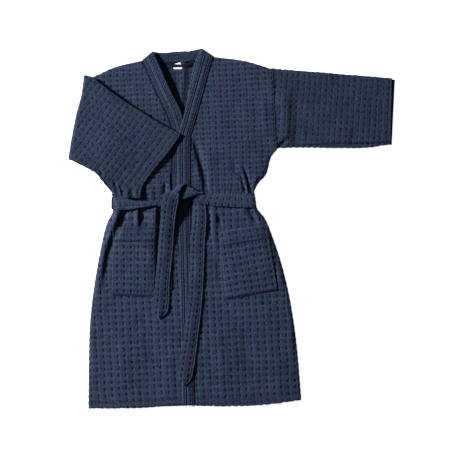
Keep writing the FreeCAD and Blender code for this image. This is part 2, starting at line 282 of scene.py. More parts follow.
# Folds: a line, its half width, its height (a valley is negative) and which of its ends fade out slowly:
# "start", "end", "both" or "none". "tip" fades only its last quarter.
FOLDS = [
    # inside the right edge of the skirt, where the belt pulls it in
    ([(-184, -20), (-198, -58), (-213, -84)], 10, -8.0, "none"),
    ([(-210, -80), (-229, -115), (-246, -162), (-258, -225), (-268, -300)], 11, -5.0, "end"),
    ([(-200, -18), (-212, -50), (-226, -86), (-244, -125), (-258, -180), (-270, -240), (-280, -310)],
     11, 6.2, "end"),
    ([(-131, -16), (-129, -44), (-125, -70)], 8, -5.2, "end"),
    ([(-146, -22), (-147, -50), (-146, -92)], 8, 5.5, "end"),
    ([(-76, -10), (-79, -60), (-89, -130), (-99, -240)], 6, -6.4, "end"),
    ([(-92, -22), (-96, -55), (-100, -100)], 8, 3.2, "end"),
    # under the knot and beside the tails
    ([(8, 2), (12, -30), (2, -60), (-12, -84)], 21, -8.0, "end"),
    ([(70, -25), (71, -70), (70, -150)], 7, -2.6, "end"),
    ([(86, -25), (86, -90), (90, -180)], 9, 2.0, "end"),
    ([(100, -36), (105, -72), (111, -104)], 6, -4.6, "both"),
    ([(94, -150), (92, -220), (93, -300)], 6, -2.0, "both"),
    ([(196, -34), (208, -58), (224, -92)], 7, -4.6, "end"),
    ([(178, -34), (188, -62), (198, -92)], 9, 1.8, "end"),
    ([(208, -44), (224, -76), (240, -116)], 7, 2.4, "end"),
    # above the belt, wearer's left
    ([(203, 8), (198, 42), (190, 78), (180, 112)], 5, -6.4, "end"),
    ([(187, 8), (183, 38), (172, 92)], 5, -3.4, "end"),
    ([(195, 10), (191, 44), (180, 96)], 6, 2.0, "end"),
    ([(213, 14), (218, 44), (226, 80)], 7, 2.4, "end"),
    ([(158, 60), (160, 90), (152, 130)], 7, -3.0, "both"),
    ([(68, 20), (64, 70), (54, 120), (43, 166), (35, 200)], 9, -6.8, "tip"),
    ([(90, 40), (86, 100), (74, 170)], 14, 2.4, "both"),
    ([(52, 44), (46, 90), (42, 130)], 5, 1.8, "both"),
    # above the belt, wearer's right, at the foot of the folded sleeve
    ([(-58, 26), (-57, 44), (-56, 66)], 7, -5.4, "end"),
    ([(-44, 36), (-44, 60), (-44, 96)], 8, 2.0, "end"),
    ([(-37, 38), (-36, 60), (-36, 96)], 5, -2.6, "end"),
    ([(-145, -2), (-148, 12), (-152, 24)], 6, -6.0, "none"),
    ([(-100, 10), (-104, 40), (-112, 66)], 9, 2.6, "end"),
    # long soft waves in the skirt
    ([(-200, -330), (-214, -460), (-232, -626)], 26, 1.4, "start"),
    ([(-130, -300), (-128, -450), (-136, -626)], 24, -1.4, "start"),
    ([(-70, -340), (-72, -480), (-80, -626)], 22, 1.2, "start"),
    ([(78, -330), (84, -480), (90, -630)], 20, 1.4, "start"),
    ([(150, -320), (166, -470), (182, -632)], 24, -1.6, "start"),
    ([(232, -310), (252, -470), (270, -632)], 24, 1.4, "start"),
    # the shoulders and chest
    ([(130, 395), (190, 380), (262, 352)], 22, 1.4, "both"),
    ([(232, 330), (238, 260), (240, 190)], 14, -2.0, "both"),
    ([(252, 300), (256, 240), (258, 180)], 12, 1.6, "both"),
    ([(110, 330), (120, 250), (128, 170)], 20, 1.4, "both"),
    ([(-130, 400), (-100, 330), (-60, 250)], 16, -1.6, "both"),
]
BACK_FOLDS = [([(19, 424), (15, 380), (10, 330), (6, 284)], 8, 3.4, "tip")]
BACK_LEVEL = 3.4
FOLD_DEPTH = 1.1  # every fold is this many times as deep as its table says


def folds(points, table):
    """How far the cloth is raised at each point by a table of folds."""
    height = np.zeros(len(points))
    for line, width, rise, fade in table:
        line = open_line(line, 6.0)
        span = line.min(0) - 4 * width, line.max(0) + 4 * width
        m = ((points > span[0]) & (points < span[1])).all(1)
        if not m.any():
            continue
        distance, _, along = to_line(points[m], line)
        taper = np.ones(m.sum())
        if fade in ("end", "both"):
            taper = taper * smooth((1 - along) / 0.55)
        if fade in ("start", "both"):
            taper = taper * smooth(along / 0.45)
        if fade == "tip":
            taper = smooth((1 - along) / 0.25)
        height[m] += FOLD_DEPTH * rise * taper * bell(distance, width)
    return height


def ripple(points, size, height, seed):
    """Gentle unevenness: a few crossed waves of about one size, always the same for a seed."""
    random = np.random.RandomState(seed)
    total = np.zeros(len(points))
    for _ in range(7):
        angle, phase = random.uniform(0, 2 * math.pi, 2)
        wave = size * random.uniform(0.7, 1.5)
        total += np.sin((points @ [math.cos(angle), math.sin(angle)]) * 2 * math.pi / wave + phase)
    return total / 7 * height * 1.6


def body_shape(points):
    """Height of the fronts above or below their flat level: folds, waves and the belt's pull.
    All of it is less at the hem, which lies flat."""
    height = folds(points, FOLDS) + ripple(points, 150, 1.0, 3) + ripple(points, 55, 0.45, 4)
    distance = gap_to(points, BELT_LINE)
    height -= 3.2 * bell(distance, 26)
    height += 1.3 * bell(distance - 48, 20)
    flat_hem = smooth((points[:, 1] - HEM_Y) / 130)
    return height * (0.45 + 0.55 * flat_hem) - 2.2 * (1 - flat_hem)


def lot(i, j, seed):
    """An even number from 0 to 1 for each whole cell, always the same for a seed."""
    mixed = np.sin(i * 12.9898 + j * 78.233 + seed * 37.719) * 43758.5453
    return mixed - np.floor(mixed)


def weave(u, v, rows=1.0, columns=0.0):
    """The waffle's relief in millimetres at a place counted in cells.
    Each cell has a long slot, with small slots halfway between.
    rows and columns are how strong the valleys and ridges across and along the slots are."""
    i, j = np.floor(u), np.floor(v)
    across, along = np.abs(u - i - 0.5), np.abs(v - j - 0.5)
    deep = 0.75 + 0.5 * lot(i, j, 1)
    slot = bell(across, 0.10) * smooth((0.33 - along) / 0.2) * deep
    small = bell(0.5 - across, 0.10) * smooth((0.28 - along) / 0.25) * 1.6 * lot(i, j, 2)
    valleys = rows * np.cos(along * 2 * math.pi) + columns * np.cos(across * 2 * math.pi)
    return -1.9 * slot - 0.45 * small - 0.5 * valleys + 0.3 * (lot(i, j, 3) - 0.5)


def warped(grain, size):
    """The cloth's own lengths pulled a little out of true, as a soft weave lies."""
    shift = np.column_stack([ripple(grain, 95, 1.2, 41) + ripple(grain, 38, 0.4, 43),
                             ripple(grain, 110, 1.6, 42) + ripple(grain, 44, 0.4, 44)])
    return grain + shift * size


# ---- meshes

def new_piece(name, vertices, faces, material, grain, groove_and_shade=None):
    """A mesh object from millimetres. faces is a list of arrays of corners; grain, in cells, is its UV map.
    The last argument, one number for each vertex, is how deep in a seam's groove it lies, where the cotton
    paints shade."""
    mesh = bpy.data.meshes.new(name)
    vertices = np.asarray(vertices, np.float64) * MM
    faces = [f for f in faces if len(f)]
    flat = np.concatenate([f.ravel() for f in faces]).astype(np.int32)
    sizes = np.concatenate([np.full(len(f), f.shape[1]) for f in faces])
    mesh.vertices.add(len(vertices))
    mesh.vertices.foreach_set("co", vertices.astype(np.float32).ravel())
    mesh.loops.add(len(flat))
    mesh.loops.foreach_set("vertex_index", flat)
    mesh.polygons.add(len(sizes))
    mesh.polygons.foreach_set("loop_start", np.concatenate([[0], np.cumsum(sizes)[:-1]]).astype(np.int32))
    mesh.update(calc_edges=True)
    layer = mesh.uv_layers.new(name="Grain")
    layer.data.foreach_set("uv", np.asarray(grain)[flat].astype(np.float32).ravel())
    if groove_and_shade is not None:
        mesh.attributes.new("groove_and_shade", "FLOAT", "POINT").data.foreach_set("value", groove_and_shade.astype(np.float32))
    mesh.polygons.foreach_set("use_smooth", [True] * len(mesh.polygons))
    mesh.materials.append(material)
    piece = bpy.data.objects.new(name, mesh)
    bpy.context.scene.collection.objects.link(piece)
    return piece


def grown(mask, times):
    """A grid of true and false with its true part grown by some cells."""
    for _ in range(times):
        wide = np.pad(mask, 1)
        mask = wide[1:-1, 1:-1] | wide[:-2, 1:-1] | wide[2:, 1:-1] | wide[1:-1, :-2] | wide[1:-1, 2:]
    return mask


def grid_in(outline, step, turn):
    """A grid, turned by an angle, that fills an outline: its points, faces and distances from the edge.
    Points beside the outline are moved onto it, so that the edge is clean."""
    c, s = math.cos(turn), math.sin(turn)
    spin = np.array([[c, s], [-s, c]])
    local = outline @ spin.T
    pace = np.array([0.8, 1.25]) * step  # closer across the slots than along them
    low, high = local.min(0) - pace, local.max(0) + pace
    nx, ny = (np.ceil((high - low) / pace)).astype(int) + 1
    gx, gy = np.meshgrid(np.arange(nx), np.arange(ny), indexing="ij")
    points = (low + np.stack([gx, gy], -1).reshape(-1, 2) * pace) @ spin
    within = inside(points, outline).reshape(nx, ny)
    near = (grown(within, 3) & grown(~within, 4)).ravel()
    distance = np.full(len(points), 99.0)
    nearest = points.copy()
    distance[near], nearest[near], _ = to_line(points[near], outline, closed=True)
    within = within.ravel()
    snap = distance < 0.55 * step
    points[snap] = nearest[snap]
    distance[snap] = 0
    keep = within | snap
    number = np.full(nx * ny, -1)
    number[keep] = np.arange(keep.sum())
    n = number.reshape(nx, ny)
    corners = np.stack([n[:-1, :-1], n[1:, :-1], n[1:, 1:], n[:-1, 1:]], -1).reshape(-1, 4)
    have = (corners >= 0).sum(1)
    points, distance = points[keep], distance[keep]
    quads = corners[have == 4]
    threes = corners[have == 3]
    triangles = threes[threes >= 0].reshape(-1, 3)

    def area(faces):
        p = points[faces]
        q = np.roll(p, -1, 1)
        return 0.5 * (p[:, :, 0] * q[:, :, 1] - p[:, :, 1] * q[:, :, 0]).sum(1)

    faces = [f[area(f) > 0.04 * step * step] for f in (quads, triangles)]
    used = np.unique(np.concatenate([f.ravel() for f in faces]))
    renumber = np.full(len(points), -1)
    renumber[used] = np.arange(len(used))
    return points[used], [renumber[f] for f in faces], distance[used]


def rim(faces, count):
    """The directed edges that only one face has."""
    edges = np.concatenate([np.stack([f, np.roll(f, -1, 1)], -1).reshape(-1, 2) for f in faces])
    ahead = edges[:, 0] * count + edges[:, 1]
    back = edges[:, 1] * count + edges[:, 0]
    return edges[~np.isin(ahead, back)]


def cloth(name, outline, level, material, cell, thick=CLOTH, turn=0.0, step=STEP, relief=1.0,
          edge_soft=4.0, edge_drop=1.2, hems=(), grain_of=None, nodes=(), slot="waffle_cotton", rows=1.0,
          groove=0.7, calm=None, body="torso", seam_shade=0.4):
    """A closed sheet of cloth over an outline. level(points) is its upper surface without the weave.
    Its edge rolls down by edge_drop over edge_soft.
    hems is a list of (line, width, seams): within the width of the line the weave is pressed flat, and at
    each of the seams' distances from it, if there are any, the cloth is drawn in by the groove and gets
    painted shade, as strong as seam_shade.
    rows is the strength of the weave's valleys, or a function for that and its columns' strength.
    calm(points) is how far the weave stands out.
    Returns the piece and a function for its finished upper surface."""
    c, s = math.cos(turn), math.sin(turn)
    coarse = outline[::2]

    def grain_at(points):
        own = points @ np.array([[c, s], [-s, c]]).T if grain_of is None else grain_of(points)
        return warped(own, 1.0) / cell

    def surface(points, distance=None):
        if distance is None:
            distance = gap_to(points, coarse, closed=True)
        grain = grain_at(points)
        top = level(points)
        roll = np.clip(1 - distance / edge_soft, 0, 1)
        top = top - edge_drop * (1 - np.sqrt(np.maximum(1 - roll**2, 0)))
        strength = rows(points) if callable(rows) else (rows, 0.0)
        bump = weave(grain[:, 0], grain[:, 1], *strength) * relief * smooth(distance / 5.0)
        if calm is not None:
            bump = bump * calm(points)
        groove_and_shade = np.zeros(len(points))
        for line, width, seams in hems:
            away = gap_to(points, line)
            bump = bump * (0.4 + 0.6 * smooth((away - width) / 5))
            for row in seams:
                groove_and_shade = np.maximum(groove_and_shade, bell(away - row, 1.7))
        return top, bump - groove * groove_and_shade, groove_and_shade

    points, faces, distance = grid_in(outline, step, turn)
    top, bump, groove_and_shade = surface(points, distance)
    upper = top + bump
    under = np.minimum(top - thick + 0.2 * bump, upper - 0.8)
    count = len(points)
    vertices = np.concatenate([np.column_stack([points, upper]), np.column_stack([points, under])])
    edge = rim(faces, count)
    walls = np.stack([edge[:, 1], edge[:, 0], edge[:, 0] + count, edge[:, 1] + count], -1)
    below = [f[:, ::-1] + count for f in faces]
    grain = grain_at(points)
    piece = new_piece(name, vertices, faces + below + [walls], material, np.concatenate([grain, grain]),
                      np.concatenate([groove_and_shade, groove_and_shade]) * seam_shade)
    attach(piece, body)
    if nodes:
        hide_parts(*nodes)
    return piece, lambda p: sum(surface(p)[:2])


def wrap(name, centre, normal, half, material, grain, cell, wall=None, relief=1.0,
         calm=None, slot="waffle_cotton", nodes=(), rows=1.0, columns=0.0):
    """A flattened tube round a sheet of points centre[s, t], or a solid strap when it has no wall.
    normal[s, t] points to its front face, half[s, t] is half its thickness and grain[s, t] its cloth's own
    lengths. calm[s, t] is how far the weave stands out there."""
    sections, width = centre.shape[:2]
    grain = warped(grain.reshape(-1, 2), 0.8).reshape(grain.shape)
    across_low = unit(centre[:, :1] - centre[:, 1:2])
    across_high = unit(centre[:, -1:] - centre[:, -2:-1])
    calm = np.ones((sections, width)) if calm is None else calm
    bump = weave(grain[..., 0] / cell[0], grain[..., 1] / cell[1], rows, columns) * relief * calm
    turns = [math.radians(a) for a in (60, 30, 0, -30, -60)]  # round each long edge

    def ring(inset, raised):
        thick = half[..., None] - inset
        side = thick + 0.8 * raised[..., None]
        parts = [centre + normal * (thick + raised[..., None])]
        for angle in turns:
            parts.append(centre[:, -1:] + across_high * (side[:, -1:] * math.cos(angle))
                         + normal[:, -1:] * thick[:, -1:] * math.sin(angle))
        parts.append((centre - normal * (thick + raised[..., None]))[:, ::-1])
        for angle in turns[::-1]:
            parts.append(centre[:, :1] + across_low * (side[:, :1] * math.cos(angle))
                         + normal[:, :1] * thick[:, :1] * math.sin(angle))
        return np.concatenate(parts, 1)

    count = 2 * width + 2 * len(turns)
    fringe = len(turns)
    edge_pace = np.array([0.0, 1.6])  # the cloth's own length from one turn to the next
    on = np.arange(1, fringe + 1)[None, :, None] * edge_pace
    parts = [grain, grain[:, -1:] + on, grain[:, ::-1], grain[:, :1] - on]
    grains = np.concatenate(parts, 1)

    def tiles(start, flip):
        i, j = np.meshgrid(np.arange(sections - 1), np.arange(count), indexing="ij")
        k = (j + 1) % count
        quads = np.stack([i * count + j, i * count + k, (i + 1) * count + k, (i + 1) * count + j], -1)
        quads = quads.reshape(-1, 4) + start
        return quads[:, ::-1] if flip else quads

    outer = ring(0, bump)
    total = sections * count
    first, last = np.arange(count), (sections - 1) * count + np.arange(count)
    if wall is None:
        vertices = outer.reshape(-1, 3)
        faces = [tiles(0, False)]
        top, low = np.arange(width), count - fringe - 1 - np.arange(width)
        for base, flip in ((0, True), ((sections - 1) * count, False)):
            ends = [np.stack([base + top[:-1], base + top[1:], base + low[1:], base + low[:-1]], -1)]
            high = [base + top[-1]] + [base + width + k for k in range(fringe)] + [base + low[-1]]
            foot = [base + low[0]] + [base + count - fringe + k for k in range(fringe)] + [base + top[0]]
            ends += [np.array([high]), np.array([foot])]
            faces += [e[:, ::-1] if not flip else e for e in ends]
        uv = grains.reshape(-1, 2)
    else:
        inner = ring(wall, bump * 0.2)
        vertices = np.concatenate([outer.reshape(-1, 3), inner.reshape(-1, 3)])
        faces = [tiles(0, False), tiles(total, True)]
        for row, flip in ((first, False), (last, True)):
            lip = np.stack([row, row + total, np.roll(row, -1) + total, np.roll(row, -1)], -1)
            faces.append(lip[:, ::-1] if flip else lip)
        uv = np.concatenate([grains.reshape(-1, 2)] * 2)
    flips = winding(vertices, faces[0], centre, normal)
    faces = [f[:, ::-1] for f in faces] if flips else faces
    piece = new_piece(name, vertices, faces, material, uv / cell)
    if nodes:
        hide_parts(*nodes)
    return piece


def winding(vertices, quads, centre, normal):
    """Whether the first faces, which are on the front, look the wrong way."""
    s, t = centre.shape[0] // 2, centre.shape[1] // 2
    aim = normal[s, t]
    spot = centre[s, t]
    middle = vertices[quads].mean(1)
    k = np.argmin(((middle - spot - aim * 3) ** 2).sum(1))
    a, b, c, d = vertices[quads[k]]
    return np.dot(np.cross(c - a, d - b), aim) < 0


def strap_between(one, other, step, across):
    """Points that fill a strap between two edges: sheet[s, t] in plan, and its own lengths."""
    one, other = open_line(one, 3), open_line(other, 3)
    middle = 0.5 * (resample(one, 50) + resample(other, 50))
    length = np.linalg.norm(np.diff(middle, axis=0), axis=1).sum()
    count = max(3, int(length / step))
    a, b = resample(one, count), resample(other, count)
    t = np.linspace(0, 1, across)[None, :, None]
    plan = a[:, None] * (1 - t) + b[:, None] * t
    width = np.linalg.norm(b - a, axis=1)
    along = np.linspace(0, length, count)
    own = np.stack([(t[..., 0] - 0.5) * width[:, None], np.repeat(along[:, None], across, 1)], -1)
    return plan, own


def stand(plan, height):
    """Plan points set at a height."""
    return np.concatenate([plan, height[..., None]], -1)


def slopes(sheet):
    """The upward normals of a sheet of points."""
    ds, dt = np.gradient(sheet, axis=0), np.gradient(sheet, axis=1)
    n = unit(np.cross(ds, dt))
    return np.where(n[..., 2:] < 0, -n, n)


# ---- materials

class Shader:
    """A cloth's material while it is put together. Most methods add a node and return its output."""

    def __init__(self, name):
        self.material = bpy.data.materials.new(name)
        self.material.use_nodes = True
        self.tree = self.material.node_tree
        self.cloth = self.tree.nodes["Principled BSDF"]
        grain = self.node("ShaderNodeUVMap")
        grain.uv_map = "Grain"
        self.grain = grain.outputs[0]
        split = self.node("ShaderNodeSeparateXYZ", self.grain)
        self.u, self.v = split.outputs[0], split.outputs[1]
        self.place = self.node("ShaderNodeTexCoord").outputs["Object"]

    def feed(self, socket, value):
        """Sets an input, or links it to another node's output."""
        if isinstance(value, (int, float)):
            socket.default_value = value
        elif isinstance(value, tuple):
            socket.default_value = (*value, 1)
        else:
            self.tree.links.new(value, socket)

    def node(self, kind, *values):
        """A node with its first inputs fed."""
        node = self.tree.nodes.new(kind)
        for socket, value in zip(node.inputs, values):
            self.feed(socket, value)
        return node

    def maths(self, operation, *values):
        """A sum of numbers and other nodes' outputs."""
        node = self.node("ShaderNodeMath", *values)
        node.operation = operation
        return node.outputs[0]

    def add(self, a, b):
        return self.maths("ADD", a, b)

    def less(self, a, b):
        return self.maths("SUBTRACT", a, b)

    def times(self, a, b):
        return self.maths("MULTIPLY", a, b)

    def from_middle(self, value):
        """How far a value is from the middle of its cell."""
        return self.maths("ABSOLUTE", self.less(self.maths("FRACT", value), 0.5))

    def fall(self, value, start, end):
        """1 up to start, easing down to 0 at end."""
        node = self.node("ShaderNodeMapRange", value, start, end, 1.0, 0.0)
        node.interpolation_type = "SMOOTHSTEP"
        return node.outputs[0]

    def noise(self, scale, detail, where):
        """Soft noise at a place."""
        node = self.node("ShaderNodeTexNoise")
        self.feed(node.inputs["Scale"], scale)
        self.feed(node.inputs["Detail"], detail)
        self.feed(node.inputs["Vector"], where)
        return node.outputs[0]

    def mix(self, factor, a, b):
        """One colour up to another, by a factor."""
        node = self.node("ShaderNodeMix")
        node.data_type = "RGBA"
        for socket, value in zip((node.inputs["Factor"], node.inputs[6], node.inputs[7]), (factor, a, b)):
            self.feed(socket, value)
        return node.outputs[2]

    def finish(self, colour, height, strength, depth, roughness):
        """Feeds the cloth's colour, its bump from a height, and its roughness."""
        bump = self.node("ShaderNodeBump")
        bump.inputs["Strength"].default_value = strength
        bump.inputs["Distance"].default_value = depth
        self.feed(bump.inputs["Height"], height)
        self.feed(self.cloth.inputs["Normal"], bump.outputs[0])
        self.feed(self.cloth.inputs["Base Color"], colour)
        self.feed(self.cloth.inputs["Roughness"], roughness)
        self.cloth.inputs["Sheen Tint"].default_value = (0.40, 0.46, 0.62, 1)


NAVY = (0.0150, 0.0250, 0.0560)
# painted highlight on the weave's ridges and ribs, and paler dye where the noise lifts it
NAVY_LIT_AND_PALE = (0.0540, 0.0740, 0.1300)
# painted shade: the colour that the weave's slots and the seams' grooves are darkened towards
NAVY_SHADE = (0.0030, 0.0055, 0.0190)
GREEN_CAST = (0.0150, 0.0310, 0.0500)
VIOLET_CAST = (0.0240, 0.0240, 0.0600)


def cotton(name, tone=1.0, seen=1.0, threads=19.0, rows=1.0, columns=0.0):
    """Waffle cotton: painted shade in its slots, painted highlight on its ridges and ribs, uneven dye, fuzz,
    and threads as fine bump; the seams' grooves get painted shade too.
    seen is how strong the painted shade in the slots and the painted highlight on the ribs are, rows and
    columns how strong the painted shade in its valleys and the painted highlight on its ridges and column
    sides are, and threads how many threads a cell has."""
    made = Shader(name)
    add, less, times, fall = made.add, made.less, made.times, made.fall
    across, along = made.from_middle(made.u), made.from_middle(made.v)
    halfway = less(0.5, across)
    cell = made.node("ShaderNodeCombineXYZ", made.maths("FLOOR", made.u), made.maths("FLOOR", made.v))
    lots = made.node("ShaderNodeTexWhiteNoise")
    made.feed(lots.inputs["Vector"], cell.outputs[0])
    # painted shade in the slots and the small slots, darker at random from cell to cell
    slot = times(fall(across, 0.045, 0.12), fall(along, 0.12, 0.30))
    slot = times(slot, add(times(lots.outputs[0], 0.35), 0.65))
    small = times(fall(halfway, 0.02, 0.12), fall(along, 0.05, 0.25))
    valley = fall(along, 0.0, 0.4)
    ridge = less(1.0, fall(along, 0.3, 0.48))
    column = less(times(across, 2.0), 0.5)
    rib = times(less(1.0, fall(across, 0.15, 0.22)), fall(across, 0.24, 0.32))
    cloud = made.noise(18.0, 3.0, made.place)
    fleck = made.noise(360.0, 1.0, made.place)
    cast = made.noise(42.0, 2.0, made.place)
    drawn = made.node("ShaderNodeVectorMath", made.grain)
    drawn.operation = "MULTIPLY"
    drawn.inputs[1].default_value = (7.5, 3.0, 1.0)
    streak = made.noise(1.0, 1.5, drawn.outputs[0])

    # painted highlight on ridges, ribs and column sides and painted shade in valleys, together with uneven
    # dye from cloud, fleck and streak
    highlight_and_dye = 0.30
    for part in (times(ridge, 0.18 * rows), times(rib, 0.25 * seen), times(valley, -0.20 * rows),
                 times(column, 0.3 * columns), times(less(cloud, 0.5), 0.6), times(less(fleck, 0.5), 2.8),
                 times(less(streak, 0.5), 2.4)):
        highlight_and_dye = add(part, highlight_and_dye)
    highlight_and_dye = made.maths("MAXIMUM", highlight_and_dye, 0.0)

    def toned(colour):
        return tuple(c * tone for c in colour)

    dye = made.mix(fall(cast, 0.36, 0.46), toned(NAVY), toned(GREEN_CAST))
    dye = made.mix(fall(less(1.0, cast), 0.36, 0.46), dye, toned(VIOLET_CAST))
    dye = made.mix(highlight_and_dye, dye, toned(NAVY_LIT_AND_PALE))
    # painted shade in the seams' grooves, read from the mesh's attribute
    groove_and_shade = made.node("ShaderNodeAttribute")
    groove_and_shade.attribute_name = "groove_and_shade"
    # the slots, the small slots and the seams' grooves are mixed towards the painted shade colour
    deep = add(add(times(slot, 1.1 * seen), times(small, 0.18 * seen)), groove_and_shade.outputs["Fac"])
    colour = made.mix(made.maths("MINIMUM", deep, 0.92), dye, toned(NAVY_SHADE))

    yarn = made.noise(900.0, 4.0, made.place)
    warp, weft = [made.maths("SINE", times(way, 2 * math.pi * threads)) for way in (made.u, made.v)]
    height = add(times(add(warp, weft), 0.22), yarn)
    made.finish(colour, height, 0.55, 0.0006, add(times(fleck, 0.12), 0.84))
    made.cloth.inputs["Specular IOR Level"].default_value = 0.06
    made.cloth.inputs["Sheen Weight"].default_value = 0.08
    made.cloth.inputs["Sheen Roughness"].default_value = 0.5
    return made.material


def tape(name, colour, pale):
    """Narrow woven tape, ribbon or thread: a fine diagonal rib and uneven yarn."""
    made = Shader(name)
    rib = made.maths("SINE", made.times(made.add(made.u, made.v), 2 * math.pi * 0.7))
    amount = made.add(made.times(rib, 0.16), made.noise(420.0, 2.0, made.place))
    made.finish(made.mix(amount, colour, pale), amount, 0.5, 0.0003, made.add(made.times(amount, 0.1), 0.82))
    made.cloth.inputs["Specular IOR Level"].default_value = 0.03
    made.cloth.inputs["Sheen Weight"].default_value = 0.03
    return made.material


BODY_COTTON = cotton("body_cotton", rows=0.8, columns=0.2)
SLEEVE_COTTON = cotton("sleeve_cotton", tone=0.88, rows=0.1, columns=0.4)
BAND_COTTON = cotton("band_cotton", seen=1.5, threads=9.0, rows=0.0)
BELT_COTTON = cotton("belt_cotton", seen=1.3, threads=13.0, rows=0.25)
# the body cotton at three quarters of its tone: painted shade for the back, seen inside the neck
SHADED_BACK_COTTON = cotton("back_cotton_painted_shade", tone=0.75, rows=0.8, columns=0.2)
TAPE = tape("navy_tape", (0.004, 0.006, 0.016), (0.012, 0.017, 0.038))
THREAD = tape("navy_thread", (0.048, 0.062, 0.108), (0.085, 0.108, 0.175))
# near-black thread laid along seam grooves and pocket edges: painted shade where the stitches run
SHADE_THREAD = tape("painted_shade_thread", (0.002, 0.003, 0.008), (0.006, 0.008, 0.018))
LABEL = tape("label_cloth", (0.70, 0.71, 0.74), (0.92, 0.93, 0.95))


def stitches(name, lines, surface, length=3.4, pitch=6.0, thick=0.9, body="torso",
             thread=THREAD):
    """Rows of stitches along lines in plan, each a short rounded thread lying on a surface."""
    spots, ways = [], []
    for line in lines:
        line = np.asarray(line, float)
        dense = resample(line, max(2, int(np.linalg.norm(np.diff(line, axis=0), axis=1).sum() / pitch)))
        spots.append(dense)
        ways.append(unit(np.gradient(dense, axis=0)))
    spots, ways = np.concatenate(spots), np.concatenate(ways)
    side = sideways(ways)
    # four sections of three points: where each is on the thread, and its half width and height
    sections = ((-0.5, 0.25, 0.1), (-0.3, 0.5, 0.5), (0.3, 0.5, 0.5), (0.5, 0.25, 0.1))
    sunk = 0.15
    rows = []
    for end, wide, high in sections:
        middle = spots + ways * end * length
        base = surface(middle)
        for k, lift in ((-1, 0), (0, 1), (1, 0)):
            plan = middle + side * k * wide * thick
            rows.append(np.column_stack([plan, base + lift * high * thick - (0 if lift else sunk)]))
    vertices = np.stack(rows, 1).reshape(-1, 3)
    sides = [[3 * i + j, 3 * i + (j + 1) % 3, 3 * i + (j + 1) % 3 + 3, 3 * i + j + 3]
             for i in range(3) for j in range(3)]
    first = len(rows) * np.arange(len(spots))[:, None, None]
    quads = (np.array(sides)[None] + first).reshape(-1, 4)
    tips = (np.array([[2, 1, 0], [9, 10, 11]])[None] + first).reshape(-1, 3)
    piece = new_piece(name, vertices, [quads, tips], thread, vertices[:, :2] * 2)
    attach(piece, body)
    return piece


def height_on(piece):
    """A function for the height of a piece's upper side, in millimetres, found by looking straight down."""
    mesh = piece.data
    tree = BVHTree.FromPolygons([v.co for v in mesh.vertices], [f.vertices[:] for f in mesh.polygons])

    def look(points):
        hits = [tree.ray_cast((x * MM, y * MM, 0.2), (0, 0, -1))[0] for x, y in points]
        return np.array([0.0 if hit is None else hit.z / MM for hit in hits])

    return look


# ---- fronts, back and bands

SHOULDER_LEFT = [(292, 386), (240, 406), (190, 421), (112, 434)]
SHOULDER_RIGHT = [(-292, 386), (-261, 392), (-193, 418), (-112, 434)]
EDGE_LINES = [open_line(line, 6) for line in (SIDE_LEFT, SIDE_RIGHT, SHOULDER_LEFT, SHOULDER_RIGHT)]
OUTER_SEAM = [(110, 433), (92.5, 379), (65.5, 296), (40, 218), (30, 190), (22, 30), (18, -62), (11, -307),
              (2, HEM_Y + 1)]
FREE_EDGE = [(-37, HEM_Y + 5), (-27, -305), (-20, -60), (-18, 32), (-12, 190), (11, 260), (47.5, 408),
             (59, 434), (75, 461)]
INNER_SEAM = [(-109, 434), (-72, 338), (-31, 232), (-32, 124), (-37, 30), (-20, -200), (18, HEM_Y + 2)]
INNER_FREE = [(60, HEM_Y + 3), (22, -200), (6, 30), (6, 130), (6, 257), (-32, 352), (-69, 448), (-75, 459)]
HEM_LEFT = [(HEM_HALF, HEM_Y + 3), (231, HEM_Y - 6), (108, HEM_Y - 6), (2, HEM_Y + 1)]
HEM_RIGHT = [(-HEM_HALF + 2, HEM_Y + 8), (-167, HEM_Y + 2), (-40, HEM_Y + 5), (18, HEM_Y + 2)]
BAND_WIDTH = 42
BAND_ROWS = (2, 8, 13, 26, 32)  # rows of stitches across the band, from its seam
# rows whose grooves get a near-black thread as painted shade
SHADED_ROWS = (1, 7.5, 26)  # those whose grooves show darkest
NECK_ROWS = (5, 14, 23, 31)


def corner(point):
    """A point where an outline turns sharply."""
    return (*point[:2], "corner")


def front_level(points, top):
    """The upper surface of a front that lies flat at top, with its folds, down to the back at its seams."""
    flat = top - 1.2 + body_shape(points)
    drop = np.ones(len(points))
    for line in EDGE_LINES:
        away = gap_to(points, line)
        drop = np.minimum(drop, np.sqrt(np.maximum(1 - (1 - np.clip(away / 16, 0, 1)) ** 2, 0)))
    armhole = 1 - 0.18 * bell(ARMHOLE - np.abs(points[:, 0]), 3) * (points[:, 1] > ARMPIT_Y)
    foot = 5.6
    flat = np.maximum(flat, foot + 1.2)
    return foot + (flat - foot) * np.minimum(drop, armhole)


def notches(run):
    """How far an edge stands out at each length along it, as it swells and pinches with the weave."""
    pitch, depth = 19.5, 1.3
    return depth * (np.abs(np.sin(math.pi * run / pitch)) - 0.6)


def notched(line, side):
    """A sleeve's edge line with its notches. side is 1 when out is to its left, else -1."""
    way = unit(np.gradient(line, axis=0))
    return line + (side * notches(run_along(line)))[:, None] * sideways(way)


def scalloped(outline):
    """An outline whose side and hem edges have notches."""
    step = np.linalg.norm(np.roll(outline, -1, 0) - outline, axis=1)
    run = np.concatenate([[0], np.cumsum(step)[:-1]])
    out = -sideways(unit(np.roll(outline, -1, 0) - np.roll(outline, 1, 0)))
    out *= np.sign((out * (outline - outline.mean(0))).sum(1).mean())
    free = (np.abs(outline[:, 0]) > 205) | (outline[:, 1] < HEM_Y + 14)
    return outline + out * (notches(run) * free)[:, None]


def chest_grain(points):
    """The cloth's own lengths on the body: its rows and columns lie closer together on the chest."""
    above = points[:, 1] > 0
    return np.column_stack([np.where(above, points[:, 0] * 1.10, points[:, 0]),
                            np.where(above, points[:, 1] * 1.25, points[:, 1])])


